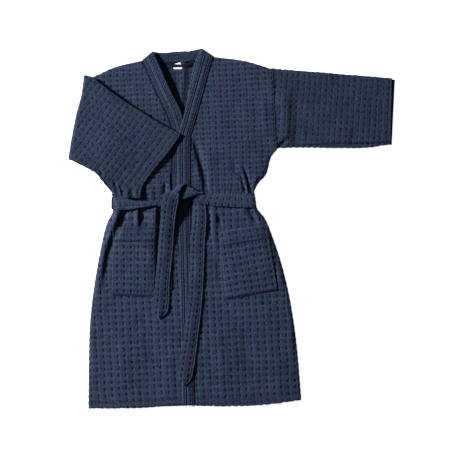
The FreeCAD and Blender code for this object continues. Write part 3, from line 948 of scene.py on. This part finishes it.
def body_rows(points):
    """The weave's rows stand out on the chest, and its columns as much as its rows in the skirt."""
    chest = smooth((points[:, 1] - 10) / 60)
    return 0.5 + 0.7 * chest, 0.4 * (1 - chest)


def body_calm(points):
    """How far the weave stands out on the body: it is drawn flat in folds and under the belt."""
    fold = np.maximum(-folds(points, FOLDS), 0)
    distance = gap_to(points, BELT_LINE)
    return (1 - 0.75 * smooth(fold / 3.5)) * (1 - 0.35 * bell(distance, 45))


def back_level(points):
    """The back's upper surface: a fold below the neck, and slow waves."""
    return BACK_LEVEL + (folds(points, BACK_FOLDS) + ripple(points, 120, 0.3, 8))


def make_front(name, node, seam, shoulder, side, hem, armhole_x, top):
    """One front, from its seam with the band to the side: its piece, its upper surface and its hem line."""
    outline = [corner(seam[0]), *shoulder[::-1][1:-1], corner(shoulder[0]), corner((armhole_x, ARMPIT_Y)),
               *side[::-1][:-1], corner(side[0]), *hem[1:-1], corner(hem[-1]), *seam[::-1][1:-1]]
    outline = curve(outline)[::-1] if armhole_x > 0 else curve(outline)
    hem, seam = open_line(hem, 6), open_line(seam, 5)
    piece, surface = cloth(name, scalloped(outline), lambda p: front_level(p, top), BODY_COTTON, BODY_CELL,
                           hems=[(hem, 20, (20,)), (seam, 2, (2,))], grain_of=chest_grain, calm=body_calm,
                           rows=body_rows, nodes=[node])
    return piece, surface, hem


def make_body():
    """Both fronts, with the stitches of their hems, and the back under them."""
    piece, top_left, hem_left = make_front("front_left", "front_panel_left", OUTER_SEAM, SHOULDER_LEFT,
                                           SIDE_LEFT, HEM_LEFT, ARMHOLE, OUTER_TOP)
    piece, top_right, hem_right = make_front("front_right", "front_panel_right", INNER_SEAM, SHOULDER_RIGHT,
                                             SIDE_RIGHT, HEM_RIGHT, -ARMHOLE, INNER_TOP)
    stitches("hem_stitches_left", [beside(hem_left, -20)], top_left)
    stitches("hem_stitches_right", [beside(hem_right, 20)], top_right)

    back = [corner((-112, 434)), (-60, 427), (0, 426), (60, 430), corner((112, 434))]
    back += [*SHOULDER_LEFT[::-1][1:-1], corner(SHOULDER_LEFT[0]), corner((ARMHOLE, ARMPIT_Y))]
    back += [*SIDE_LEFT[::-1][:-1], corner(SIDE_LEFT[0]), (120, HEM_Y + 1), (-120, HEM_Y + 3)]
    back += [corner(SIDE_RIGHT[0]), *SIDE_RIGHT[1:], corner((-ARMHOLE, ARMPIT_Y))]
    back += [corner(SHOULDER_RIGHT[0]), *SHOULDER_RIGHT[1:-1]]
    # the back is built in the darker copy of the body cotton: painted shade inside the neck
    piece, _ = cloth("back", curve(back)[::-1], back_level, SHADED_BACK_COTTON, BODY_CELL, step=HIDDEN_STEP,
                     relief=0.45, edge_drop=0.8, thick=2.2, grain_of=chest_grain, nodes=["back_panel"])


def band(name, node, outline, seam, level, rows=BAND_ROWS, **look):
    """A doubled band over an outline, sewn through in rows beside its seam."""
    def own_lengths(points):
        away, _, along = to_line(points, seam)
        return np.column_stack([away + 1.0, along * 1130])

    return cloth(name, curve(outline)[::-1], level, BAND_COTTON, BAND_CELL, hems=[(seam, 0, rows)],
                 edge_soft=3, rows=0, grain_of=own_lengths, nodes=[node], slot="band_cotton", **look)


def band_bulge(away):
    """How far a band swells at a distance from its seam."""
    return 0.9 * np.sin(np.pi * np.clip(away / BAND_WIDTH, 0, 1))


def make_bands():
    """The outer front's band, the inner front's, and the band behind the neck, each with its stitches and
    with near-black threads as painted shade along its seam.
    """
    outer = [corner(FREE_EDGE[0]), *FREE_EDGE[1:-1], corner(FREE_EDGE[-1]), corner((112, 434)),
             *OUTER_SEAM[1:-1], corner(OUTER_SEAM[-1])]
    outer_seam = open_line(OUTER_SEAM, 4)

    def outer_level(p):
        flat = OUTER_TOP - 0.6 + body_shape(p) * 0.85 + band_bulge(gap_to(p, outer_seam))
        return np.maximum(flat, 8.0)

    piece, top = band("band_left", "front_band_left", outer, outer_seam, outer_level, thick=3.6, step=2.0,
                      edge_drop=1.6, relief=0.8, groove=1.3, seam_shade=0.8)
    stitches("band_stitches_left", [beside(outer_seam, -row - 2.5) for row in BAND_ROWS], top, length=4.6,
             pitch=9.0, thick=1.5)
    # near-black threads in the grooves of the darkest rows: painted shade
    stitches("band_seam_shade_left", [beside(outer_seam, -row) for row in SHADED_ROWS], top, length=5.8, thick=1.5,
             thread=SHADE_THREAD)

    inner = [corner(INNER_FREE[0]), *INNER_FREE[1:-1], corner(INNER_FREE[-1]), corner(INNER_SEAM[0]),
             *INNER_SEAM[1:-1], corner(INNER_SEAM[-1])]
    inner_seam = open_line(INNER_SEAM, 4)

    def inner_level(p):
        away = gap_to(p, inner_seam)
        lift = 7.5 * smooth((p[:, 1] - 235) / 110) * (0.2 + 0.8 * smooth(away / 34))
        bulge = band_bulge(away) * smooth((p[:, 1] - 60) / 80)
        return np.maximum(INNER_TOP - 1.0 + body_shape(p) * 0.85 + bulge + lift, 6.8)

    piece, top = band("band_right", "front_band_right", inner, inner_seam, inner_level, thick=3.0, step=2.0,
                      edge_drop=1.4, relief=0.8, groove=1.2, seam_shade=0.6)
    shown = inner_seam[inner_seam[:, 1] > 60]
    stitches("band_stitches_right", [beside(shown, row + 2.5) for row in BAND_ROWS], top, length=4.6,
             pitch=9.0, thick=1.2)
    # near-black threads in the grooves of the darkest rows: painted shade
    stitches("band_seam_shade_right", [beside(shown, row) for row in SHADED_ROWS], top, length=5.8, thick=1.1,
             thread=SHADE_THREAD)

    neck = [corner((-110, 433)), corner((-76, 460)), (-44, 454), (-10, 455.5), (30, 456), (52, 457.5),
            corner((76, 462)), corner((112, 433)), (56, 425), (0, 422), (-56, 423)]
    neck_seam = open_line([(-110, 433), (-56, 422), (0, 420), (56, 419), (112, 433)], 4)

    def neck_level(p):
        return 5.6 + 3.2 * smooth(gap_to(p, neck_seam) / 30)

    piece, _ = band("band_neck", "neck_band", neck, neck_seam, neck_level, NECK_ROWS, thick=3.0, step=2.4,
                    edge_drop=1.4, relief=0.7, groove=0.8)
    under = open_line([(-54, 421.5), (0, 420.5), (54, 424)], 2)
    # near-black thread along the neck seam: the seam itself, with painted shade under the band's edge
    stitches("neck_seam_shade", [under], back_level, length=5.8, thick=1.5,
             thread=SHADE_THREAD)


# ---- sleeves

CUFF_ROWS = (4, 27, 32)  # rows of stitches across a cuff, from its edge
SLEEVE_TILT = math.radians(-6.5)  # how far the left sleeve's weave is turned
SLEEVE_ACROSS = 84  # points across a sleeve
LEFT_SLEEVE_FOLDS = [
    ([(316, 340), (319, 290), (320, 230), (317, 182)], 19, 4.6, "start"),
    ([(352, 345), (356, 290), (354, 220), (350, 156)], 16, -1.6, "start"),
    ([(296, 150), (310, 160), (332, 176)], 6, -5.0, "end"),
    ([(286, 156), (286, 200), (285, 260)], 4, -2.4, "end"),
    ([(300, 144), (400, 148), (520, 145), (640, 143)], 4, -3.4, "start"),
    ([(300, 152), (400, 156), (520, 153), (640, 151)], 4, 1.6, "start"),
    ([(520, 150), (530, 175), (545, 195)], 10, -1.4, "end"),
]
RIGHT_SLEEVE_FOLDS = [
    ([(-200, 24), (-206, 50), (-216, 76)], 5, -5.0, "end"),
    ([(-186, 20), (-190, 40), (-196, 60)], 4.5, -4.2, "end"),
    ([(-193, 20), (-198, 46), (-204, 70)], 4.5, 2.0, "end"),
    ([(-172, 14), (-172, 32), (-180, 54)], 5, 1.8, "end"),
    ([(-160, 12), (-158, 30), (-164, 48)], 4.5, -4.0, "end"),
    ([(-148, 12), (-146, 34), (-150, 50)], 5, 1.6, "end"),
    ([(-216, 40), (-232, 62), (-246, 80)], 6, -3.0, "both"),
    ([(-246, 84), (-252, 104), (-266, 126)], 6, -1.8, "end"),
    ([(-262, 102), (-235, 160), (-190, 230)], 22, 1.2, "both"),
    ([(-300, 320), (-220, 290), (-130, 230)], 26, 1.0, "both"),
]


def cuff_groove(gap, row):
    """How far a row of stitches, at its distance from the cuff's edge, draws the cloth in."""
    return 1.1 * bell(gap - row - 2.8, 1.6)


def plumpness(t):
    """A flattened tube's thickness across it, as a share: even, and round at both edges."""
    return np.sqrt(np.clip(1 - np.abs(2 * t - 1) ** 6, 0, 1))


def make_left_sleeve():
    """The sleeve that lies out: a flat tube, and its back layer, which shows past it at the cuff."""
    low = open_line([(282, 147), (299, 148), (361, 146), (475, 139), (575, 136), (639, 143)], 3)
    high = open_line([(282, 389), (330, 382), (480, 362), (CUFF_X - 2, 340)], 3)
    low, high = notched(low, -1), notched(high, 1)
    plan, _ = strap_between(low.tolist(), high.tolist(), STEP, SLEEVE_ACROSS)
    middle_z = SLEEVE_HIGH[2] / 2
    flat = plan.reshape(-1, 2)
    shape = folds(flat, LEFT_SLEEVE_FOLDS) + ripple(flat, 120, 0.9, 11) + ripple(flat, 48, 0.4, 12)
    shape = shape.reshape(plan.shape[:2]) * 0.5  # half of it lifts the tube, half of it thickens it
    t = np.linspace(0, 1, SLEEVE_ACROSS)[None]
    half = (middle_z - 0.9) * (0.62 + 0.38 * plumpness(t)) + shape
    half = np.maximum(half, 2.9)
    centre = stand(plan, middle_z - 0.2 + shape)
    normal = np.zeros_like(centre)
    normal[..., 2] = 1
    turned = np.array([[math.cos(SLEEVE_TILT), -math.sin(SLEEVE_TILT)],
                       [math.sin(SLEEVE_TILT), math.cos(SLEEVE_TILT)]])
    grain = (plan - [CUFF_X, 339]) @ turned
    calm = np.where(plan[..., 0] > CUFF_X - 46, 0.8, 1.0)
    gap = np.abs(high[-1, 0] - (high[-1, 0] - low[-1, 0]) * (1 - t) - plan[..., 0])
    for row in CUFF_ROWS:
        half -= cuff_groove(gap, row)
    piece = wrap("sleeve_left_cloth", centre, normal, half, SLEEVE_COTTON, grain, SLEEVE_CELL, wall=CLOTH,
                 rows=0.1, columns=0.2, calm=calm, nodes=["sleeve_left"])
    cuff = np.stack([low[-1], high[-1]])
    inward = sideways(unit(cuff[1:] - cuff[:1]))
    rows = [resample(cuff, 40)[1:-1] + inward * away for away in CUFF_ROWS]
    stitches("cuff_stitches_left", rows, height_on(piece), body="sleeve_left", pitch=5.4, length=3.4,
             thick=0.9)
    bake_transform(piece)
    lip = [corner(p) for p in ((600, 137), (643, 139), (CUFF_X + 7, 338), (CUFF_X - 60, 345))]
    piece, _ = cloth("sleeve_left_inside", curve(lip)[::-1], level_at(4.4), SLEEVE_COTTON, SLEEVE_CELL,
                     thick=2.4, turn=SLEEVE_TILT, relief=0.5, edge_drop=0.8, body="sleeve_left")


FOLD_EDGE = [(-350, 143), (-334, 215), (-319, 276), (-300, 336), (-290, 394)]
FOLD_OUT = np.array([-0.9787, 0.2052])  # the way across the fold, out of the robe
# the edges of the part that lies over, from the fold to the cuff
OVER_LOW = [(-318, 129), (-292, 115), (-266, 98), (-244, 68), (-226, 46), (-200, 28), (-170, 18), (-134, 14)]
OVER_HIGH = [(-263, 385), (-223, 350), (-187, 321), (-134, 283), (-98, 258), (-63, 236), (-28, 214),
             (-2, 198)]
CUFF_LINE = [(-134, 14), (-124, 50), (-37, 154), (-2, 198)]
CUFF_ANGLE = math.radians(51)  # how far the folded sleeve's weave is turned
CUFF_IN = np.array([-0.797, 0.603])  # the way from the folded sleeve's cuff into it
HEAD_ROWS, BEND_ROWS, OVER_ROWS = 15, 9, 106  # sections before the fold, round it and beyond it
FOLDED_ARMHOLE_X = -286.0  # where the folded sleeve's tube starts
ARMHOLE_LENGTH = 244
SWING = 8.2  # how far the middle of the tube swings about the fold
SQUEEZE = 4.4  # half the tube's thickness at the fold


def make_right_sleeve():
    """The sleeve folded over the chest: one tube from the armhole, round the fold and on to the cuff."""
    across = SLEEVE_ACROSS
    t = np.linspace(0, 1, across)
    axis_z = HINGES["sleeve_right_unfold"]["pos_m"][2] / MM
    edge = resample(open_line(FOLD_EDGE, 3), across)
    bend_x = SWING * (1 - 0.45 * t)[:, None]
    turn_at = edge - FOLD_OUT * (bend_x + SQUEEZE)
    armhole = np.stack([np.full(across, FOLDED_ARMHOLE_X), ARMPIT_Y + ARMHOLE_LENGTH * t], -1)
    plan, height, normals, halves = [], [], [], []
    for k in range(HEAD_ROWS):
        f = k / HEAD_ROWS
        plan.append(armhole * (1 - f) + turn_at * f)
        height.append(np.full(across, axis_z - SWING))
        normals.append(np.tile([0, 0, 1.0], (across, 1)))
        halves.append(np.full(across, 5.0 - (5.0 - SQUEEZE) * smooth(f)))
    for k in range(BEND_ROWS):
        angle = math.radians(-90 + 180 * k / (BEND_ROWS - 1))
        plan.append(turn_at + FOLD_OUT * bend_x * math.cos(angle))
        height.append(np.full(across, axis_z + SWING * math.sin(angle)))
        normals.append(np.tile([*(-FOLD_OUT * math.cos(angle)), -math.sin(angle)], (across, 1)))
        halves.append(np.full(across, SQUEEZE))
    low = open_line([tuple(turn_at[0]), *OVER_LOW], 3)
    high = open_line([tuple(turn_at[-1]), *OVER_HIGH], 3)
    cuff = resample(open_line(CUFF_LINE, 3), across)
    low, high = notched(resample(low, OVER_ROWS + 1), -1), resample(high, OVER_ROWS + 1)
    for k in range(1, OVER_ROWS + 1):
        f = k / OVER_ROWS
        straight = turn_at * (1 - f) + cuff * f
        bend_low = low[k] - (turn_at[0] * (1 - f) + cuff[0] * f)
        bend_high = high[k] - (turn_at[-1] * (1 - f) + cuff[-1] * f)
        plan.append(straight + (1 - t)[:, None] * bend_low + t[:, None] * bend_high)
        settle, onward = smooth(f / 0.25), smooth((f - 0.3) / 0.7)
        sunk = (5.2 + 1.6 * np.sin(math.pi * t)) * onward * (1 - 0.55 * t**2)
        height.append(axis_z + SWING - 0.9 * settle - sunk)
        normals.append(np.tile([0, 0, -1.0], (across, 1)))
        halves.append(np.full(across, SQUEEZE + 0.8 * settle - 1.9 * onward))
    plan, height, normals, halves = (np.array(x) for x in (plan, height, normals, halves))
    flat = plan.reshape(-1, 2)
    shape = folds(flat, RIGHT_SLEEVE_FOLDS) + ripple(flat, 110, 0.8, 21) + ripple(flat, 46, 0.4, 22)
    shape = shape.reshape(height.shape)
    over_from = HEAD_ROWS + BEND_ROWS
    on_top = np.zeros(height.shape)
    on_top[over_from:] = smooth(np.arange(1, OVER_ROWS + 1) / 12)[:, None]
    shape = shape * on_top * 0.5
    half = halves * (0.7 + 0.3 * plumpness(t)[None]) + shape
    height = height + shape
    # the cloth's own lengths: unfolded about the fold line, turned to run with the cuff
    cuff_way = np.array([math.cos(CUFF_ANGLE), math.sin(CUFF_ANGLE)])
    mirrored = plan - 2 * (((plan - turn_at[None]) @ FOLD_OUT))[..., None] * FOLD_OUT
    before = np.arange(len(plan)) < HEAD_ROWS
    unfolded = np.where(before[:, None, None], mirrored, plan)
    grain = np.stack([unfolded @ np.array([cuff_way[1], -cuff_way[0]]), unfolded @ cuff_way], -1)
    cuff_gap = gap_to(flat, cuff).reshape(height.shape)
    lies_over = np.arange(len(plan))[:, None] >= over_from
    calm = np.where(lies_over, np.where(cuff_gap < 36, 0.8, 1.0), 0.6)
    for row in CUFF_ROWS:
        half = half - np.where(lies_over, cuff_groove(cuff_gap, row), 0)
    piece = wrap("sleeve_right_cloth", stand(plan, height), normals, np.maximum(half, 2.8), SLEEVE_COTTON,
                 grain, SLEEVE_CELL, wall=CLOTH, rows=0.1, columns=0.3, calm=calm,
                 nodes=["sleeve_right", "sleeve_right_head"])
    rows = [cuff[3:-3] + CUFF_IN * away for away in CUFF_ROWS]
    stitches("cuff_stitches_right", rows, height_on(piece), body="sleeve_right", pitch=5.4, length=4.6,
             thick=1.4)
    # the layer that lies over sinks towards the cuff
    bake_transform(piece)


# ---- pockets

POCKET_CELL = (BODY_CELL[0], BODY_CELL[1] * 0.97)


def make_pocket(name, node, points, panel_top):
    """A patch pocket: cloth that swells a little over a panel, sewn down on three sides, open at the top."""
    outline = curve([corner(p) for p in points])
    low_left, low_right, high_right, high_left = [np.array(p, float) for p in points]
    turn = math.atan2(*(high_right - high_left)[::-1])
    mouth = np.stack([high_left, high_right])
    sewn = np.stack([high_left, low_left, low_right, high_right])
    hem = 42

    def level(p):
        swell = smooth(gap_to(p, sewn) / 30)
        swell = 1.6 * swell + 2.2 * bell(gap_to(p, mouth), 34) * swell
        return np.maximum(panel_top - 1.2 + body_shape(p), 6.8) + 2.6 + swell

    piece, top = cloth(name, outline, level, BODY_COTTON, POCKET_CELL, turn=turn, step=1.9,
                       hems=[(mouth, hem, (hem + 1,)), (sewn, 4, ()), (sewn[1:3], 4, (4,))], nodes=[node],
                       thick=2.2, edge_soft=3, groove=1.3, seam_shade=0.85)
    across, left, foot, right = [resample(np.stack(ends), 40) for ends in (
        (high_left, high_right), (high_left, low_left), (low_left, low_right), (high_right, low_right))]
    # near-black threads along the pocket's hem and foot: painted shade in the hem's groove and under the
    # pocket's edge
    stitches(node + "_stitches", [across - [0, hem], foot + [0, 3]], top, length=4.4, pitch=6.2, thick=1.2,
             thread=SHADE_THREAD)
    stitches(node + "_side_stitches", [left + [3, 0], right - [3, 0]], top)


# ---- belt

BELT_ACROSS = 17  # points across the belt
BELT_PACE = 2.4
ROUND_HALF = 18.5  # half the belt's width behind the back


def strap(name, sheet, half, own, cell=BELT_CELL, material=BELT_COTTON, slot="belt_cotton", **look):
    """A solid strap round a sheet of points. half is half its thickness."""
    halves = np.full(sheet.shape[:2], half)
    return wrap(name, sheet, slopes(sheet), halves, material, own, cell, slot=slot, **look)


def strip_lengths(across, along):
    """A straight strip's own lengths, from those across it and those along it."""
    return np.stack([np.repeat(across[None], len(along), 0), np.repeat(along[:, None], len(across), 1)], -1)


def belt_level(p):
    """Middle height of a belt that lies across the fronts."""
    return BELT_TOP + 0.6 + folds(p, FOLDS) * 0.15


def belt_side(x):
    """How far the belt sinks where it turns down at the robe's sides."""
    out = np.abs(x) - 200
    return np.where(out > 0, 5.0 * (1 - np.sqrt(1 - np.clip(out / 16, 0, 1) ** 2 * 0.95)), 0)


def make_belt():
    """The belt round the waist: each front stretch, and the part round the sides and behind."""
    t = np.linspace(-1, 1, BELT_ACROSS)[None]
    crown = 1 - t**2
    low = [(25, -2), (32, -6), (64, -16), (92, -22), (124, -25), (160, -29), (216, -33)]
    high = [(50, 17), (57, 19), (75, 20), (98, 22), (126, 21), (160, 17), (210, 8)]
    plan, own = strap_between(low, high, BELT_PACE, BELT_ACROSS)
    x = plan[..., 0]
    height = belt_level(plan.reshape(-1, 2)).reshape(x.shape) + 0.9 * crown + 3.2 * smooth((100 - x) / 75)
    height = height - 1.8 * bell(t - 0.45, 0.2) * smooth((150 - x) / 90) - belt_side(x)
    piece = strap("belt_left", stand(plan, height), 1.3, own[..., ::-1] + [0, 10], relief=1.15, rows=0.3,
                  nodes=["belt_front_left"])
    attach(piece, "torso")

    # the other stretch is twisted narrow towards the knot
    low = [(-222, -17), (-190, -20), (-157, -19), (-139, -16), (-122, -14.5), (-104, -12.5), (-69, -12),
           (-40, -12)]
    high = [(-221, 18), (-199, 13), (-171, 6), (-149, 1.5), (-134, -2), (-104, -6), (-69, -7), (-40, -7)]
    plan, own = strap_between(low, high, BELT_PACE, BELT_ACROSS)
    x = plan[..., 0]
    narrow = smooth((x + 190) / 90)
    dip = smooth((x + 205) / 40) * (1 - narrow)
    height = belt_level(plan.reshape(-1, 2)).reshape(x.shape) + 0.8 * crown + 1.5 * narrow
    height = height - 2.6 * bell(t + 0.35, 0.2) * dip - belt_side(x)
    piece = strap("belt_right", stand(plan, height), 1.3, own[..., ::-1] + [0, 10], relief=1.15, rows=0.3,
                  nodes=["belt_front_right"])
    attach(piece, "torso")

    # from one side down round the edge, behind the back and up the other side
    path = [(204, -12, 16.2), (211, -12, 14.4), (215.5, -12, 10), (216, -12, 4.4), (212, -12, 1.7),
            (200, -11.6, 1.4), (0, -2.5, 1.3), (-200, 1, 1.4), (-217, 1, 1.7), (-222.5, 1, 4.4),
            (-222.5, 1, 10), (-218, 1, 14.4), (-210, 1, 16.2)]
    dense = resample(path, 190)
    side = np.array([0, 1.0, 0])
    t = np.linspace(-1, 1, BELT_ACROSS)
    centre = dense[:, None] + side[None, None] * (t * ROUND_HALF)[None, :, None]
    centre[..., 0] -= 2.6 * t * smooth((dense[:, :1] - 180) / 30)
    normal = unit(np.cross(unit(np.gradient(dense, axis=0)), side))[:, None].repeat(BELT_ACROSS, 1)
    if normal[0, 0, 2] < 0:
        normal = -normal
    piece = wrap("belt_behind", centre, normal, np.full(centre.shape[:2], 1.0), BELT_COTTON,
                 strip_lengths(t * ROUND_HALF, run_along(dense)), BELT_CELL, relief=0.25, slot="belt_cotton",
                 nodes=["belt_back", "belt_side_left", "belt_side_right"])
    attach(piece, "torso")


def make_tails():
    """The belt's two ends, from the knot down to their points."""
    low = [(-62, 15), (-68, -12), (-71, -35), (-82, -118), (-96, -220), (-111, -330), (-98, -357)]
    high = [(-18, 2), (-25, -25), (-35, -77), (-44, -148), (-58, -248), (-68, -334), (-90, -357)]
    tail("tail_right", "belt_tail_right", low, high, 14.9, 13.3, (-135, 125))
    low = [(30, -7), (25, -44), (19, -87), (13, -122), (0, -285), (-22, -420), (-45, -541), (-30, -565)]
    high = [(62, -10), (64, -46), (61, -87), (56, -124), (41, -287), (20, -420), (-4, -542), (-24, -566)]
    tail("tail_left", "belt_tail_left", low, high, 16.9, -2.4, (-60, 60))


def tail(name, node, low, high, level, rise, climb):
    """One hanging end of the belt between two edges: a flat strap whose sewn edge stands up a little.
    From the first number of climb on, over a length of the second, it rises towards the knot by rise."""
    across = 29
    low, high = open_line(low, 3), open_line(high, 3)
    plan, own = strap_between(low.tolist(), high.tolist(), BELT_PACE, across)
    t = np.linspace(-1, 1, across)[None]
    points = plan.reshape(-1, 2)
    height = (level + 0.35 * folds(points, FOLDS) + ripple(points, 90, 1.1, 31)).reshape(plan.shape[:2])
    climbs = rise * smooth((plan[..., 1] - climb[0]) / climb[1])
    lip = 1.0 * smooth((t - 0.84) / 0.14) - 1.3 * bell(t - 0.83, 0.07)
    height = height + 0.8 * (1 - t**2) + climbs + lip - 2.2 * smooth((t + 0.3) / 1.1)
    piece = strap(name, stand(plan, height), 1.5, own, TAIL_CELL, relief=1.2, rows=0.5, nodes=[node])
    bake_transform(piece)


def make_knot():
    """The knot: the short tail's upper end folded over it, the loop beside that, and its packed middle."""
    across = 21
    t = np.linspace(-1, 1, across)[None]
    # the strap over the knot, from its peak down into the short tail
    left = [(-62, 15), (-55, 21), (-38, 30), (-24, 38), (-14, 44.5), (-6, 48), (1, 48)]
    right = [(-18, 2), (-17, 10), (-15, 20), (-9, 36), (-3, 44), (2, 46)]
    plan, own = strap_between(left, right, 2.0, across)
    f = np.linspace(0, 1, len(plan))[:, None]
    height = 29.0 + 1.2 * np.sin(math.pi * f) - 2.0 * f**3 + 1.0 * t * np.sin(math.pi * f)
    height = height - 9.5 * smooth((-t - 0.1) / 0.9) * smooth((f - 0.2) / 0.45)
    piece = strap("knot_over", stand(plan, height), 1.6, own, TAIL_CELL, relief=1.0, rows=0.4,
                  nodes=["belt_knot"])
    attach(piece, "torso")
    # the loop at the left of the knot, a triangle of folded belt that ends under the belt's front
    low = [(-15, 1), (-2, 4), (15, 9), (33, 15), (56, 18)]
    high = [(4, 44), (13, 41), (27, 33), (43, 22), (56, 20)]
    plan, own = strap_between(low, high, 2.0, across)
    f = np.linspace(0, 1, len(plan))[:, None]
    crown = 1 - t**2
    plan[..., 0] += 5.0 * crown * (1 - f) ** 3
    height = BELT_TOP + 7.6 + 1.6 * crown * (1 - 0.7 * f) - 2.0 * f - 1.4 * t * (1 - f) - 3.2 * (1 - f) ** 3
    piece = strap("knot_loop", stand(plan, height), 1.5, own[..., ::-1], (14.0, 12.0), relief=0.5, rows=0.3)
    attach(piece, "torso")
    # the packed middle of the knot, under both, hollow between them
    middle = curve([(-52, 10), (-34, 23), (-14, 33), (4, 36), (22, 30), (44, 18), (30, 8), (12, 3), (0, 0),
                    (-18, -4)])
    strap_line, loop_line = np.array([(-42, 10), (-26, 24)]), np.array([(8, 24), (34, 18)])
    hollow = np.array([(-12, 6), (-6, 36)])

    def level(p):
        away = gap_to(p, middle[::4], closed=True)
        under = sum(6.0 * bell(gap_to(p, line), 11) for line in (strap_line, loop_line))
        return BELT_TOP + 0.2 + under * smooth(away / 9) - 4.0 * bell(gap_to(p, hollow), 7)

    piece, _ = cloth("knot_middle", middle[::-1], level, BELT_COTTON, BELT_CELL, thick=3.0, step=2.4,
                     relief=0.4, rows=0.3, edge_soft=4, edge_drop=2.0, slot="belt_cotton")


# ---- trim

TAPE_ACROSS = 5
TAPE_CELL = (1, 1)


def make_carrier(side, sign, x, y):
    """A thread loop that stands at a side seam, round the belt's edge."""
    path = [(8, -24, 4.5), (0, -23, 5.0), (0, -19, 6.0), (1, 0, 6.2), (3, 19, 6.0), (4, 23, 5.0),
            (14, 24, 4.5)]
    path = np.array([(sign * x - sign * inward, y + along, z) for inward, along, z in path])
    count, length = 36, 70
    dense = resample(path, count)
    t = np.linspace(-1, 1, TAPE_ACROSS) * 2.6
    up = np.array([0, 0, 1.0])
    centre = dense[:, None] + up[None, None] * t[None, :, None]
    normal = unit(np.cross(unit(np.gradient(dense, axis=0)), up))[:, None].repeat(TAPE_ACROSS, 1)
    piece = wrap("carrier_" + side, centre, normal * sign, np.full(centre.shape[:2], 0.7), TAPE,
                 strip_lengths(t, np.linspace(0, length, count)), TAPE_CELL, relief=0, slot="tape_cotton",
                 nodes=["belt_loop_" + side])
    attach(piece, "torso")


def make_trim():
    """Belt carriers, hanging loop, blank label and inner tie."""
    make_carrier("left", 1, 218.4, -12.0)
    make_carrier("right", -1, 224.6, 7.0)
    # hanging loop
    count, length = 60, 90
    hung = open_line([(-37, 422), (-22, 415), (0, 412.5), (20, 412), (33, 414), (38, 422)], 2)
    dense = resample(hung, count)
    t = np.linspace(-1, 1, TAPE_ACROSS)
    plan = dense[:, None] + sideways(unit(np.gradient(dense, axis=0)))[:, None] * (t * 3.3)[None, :, None]
    height = 7.2 + 0.5 * np.sin(np.linspace(0, 9, count))[:, None] + 0 * t[None]
    own = strip_lengths(t * 2.7, np.linspace(0, length, count))
    piece = strap("hanging_loop_tape", stand(plan, height), 0.6, own, TAPE_CELL, TAPE, "tape_cotton",
                  relief=0, nodes=["hanging_loop"])
    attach(piece, "hanging_loop")
    # label
    label = curve([corner(p) for p in ((-16, 402), (15, 401), (9, 423), (-9, 419))])
    piece, _ = cloth("label", label[::-1], lambda p: 5.0 + 0.4 * np.sin(p[:, 0] / 6), LABEL, TAPE_CELL,
                     thick=0.7, step=1.5, relief=0, edge_soft=1, edge_drop=0.2, nodes=["neck_label"],
                     slot="label_cloth")
    # inner tie, under the belt and the short tail
    left = [(-56, -26), (-60, -150), (-63, -272)]
    right = [(-45, -26), (-48, -150), (-51, -272)]
    plan, own = strap_between(left, right, 3.0, 7)
    piece = strap("inner_tie_tape", stand(plan, np.full(plan.shape[:2], 12.9)), 0.5, own, TAPE_CELL, TAPE,
                  "tape_cotton", relief=0, nodes=["inner_tie"])
    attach(piece, "inner_tie")


make_body()
make_bands()
make_left_sleeve()
make_right_sleeve()
make_pocket("pocket_right_cloth", "pocket_right", [(-236, -280), (-108, -292), (-85, -79), (-223, -72)],
            INNER_TOP)
make_pocket("pocket_left_cloth", "pocket_left", [(112, -310), (272, -290), (249, -86), (101, -103)],
            OUTER_TOP)
make_belt()
make_tails()
make_knot()
make_trim()
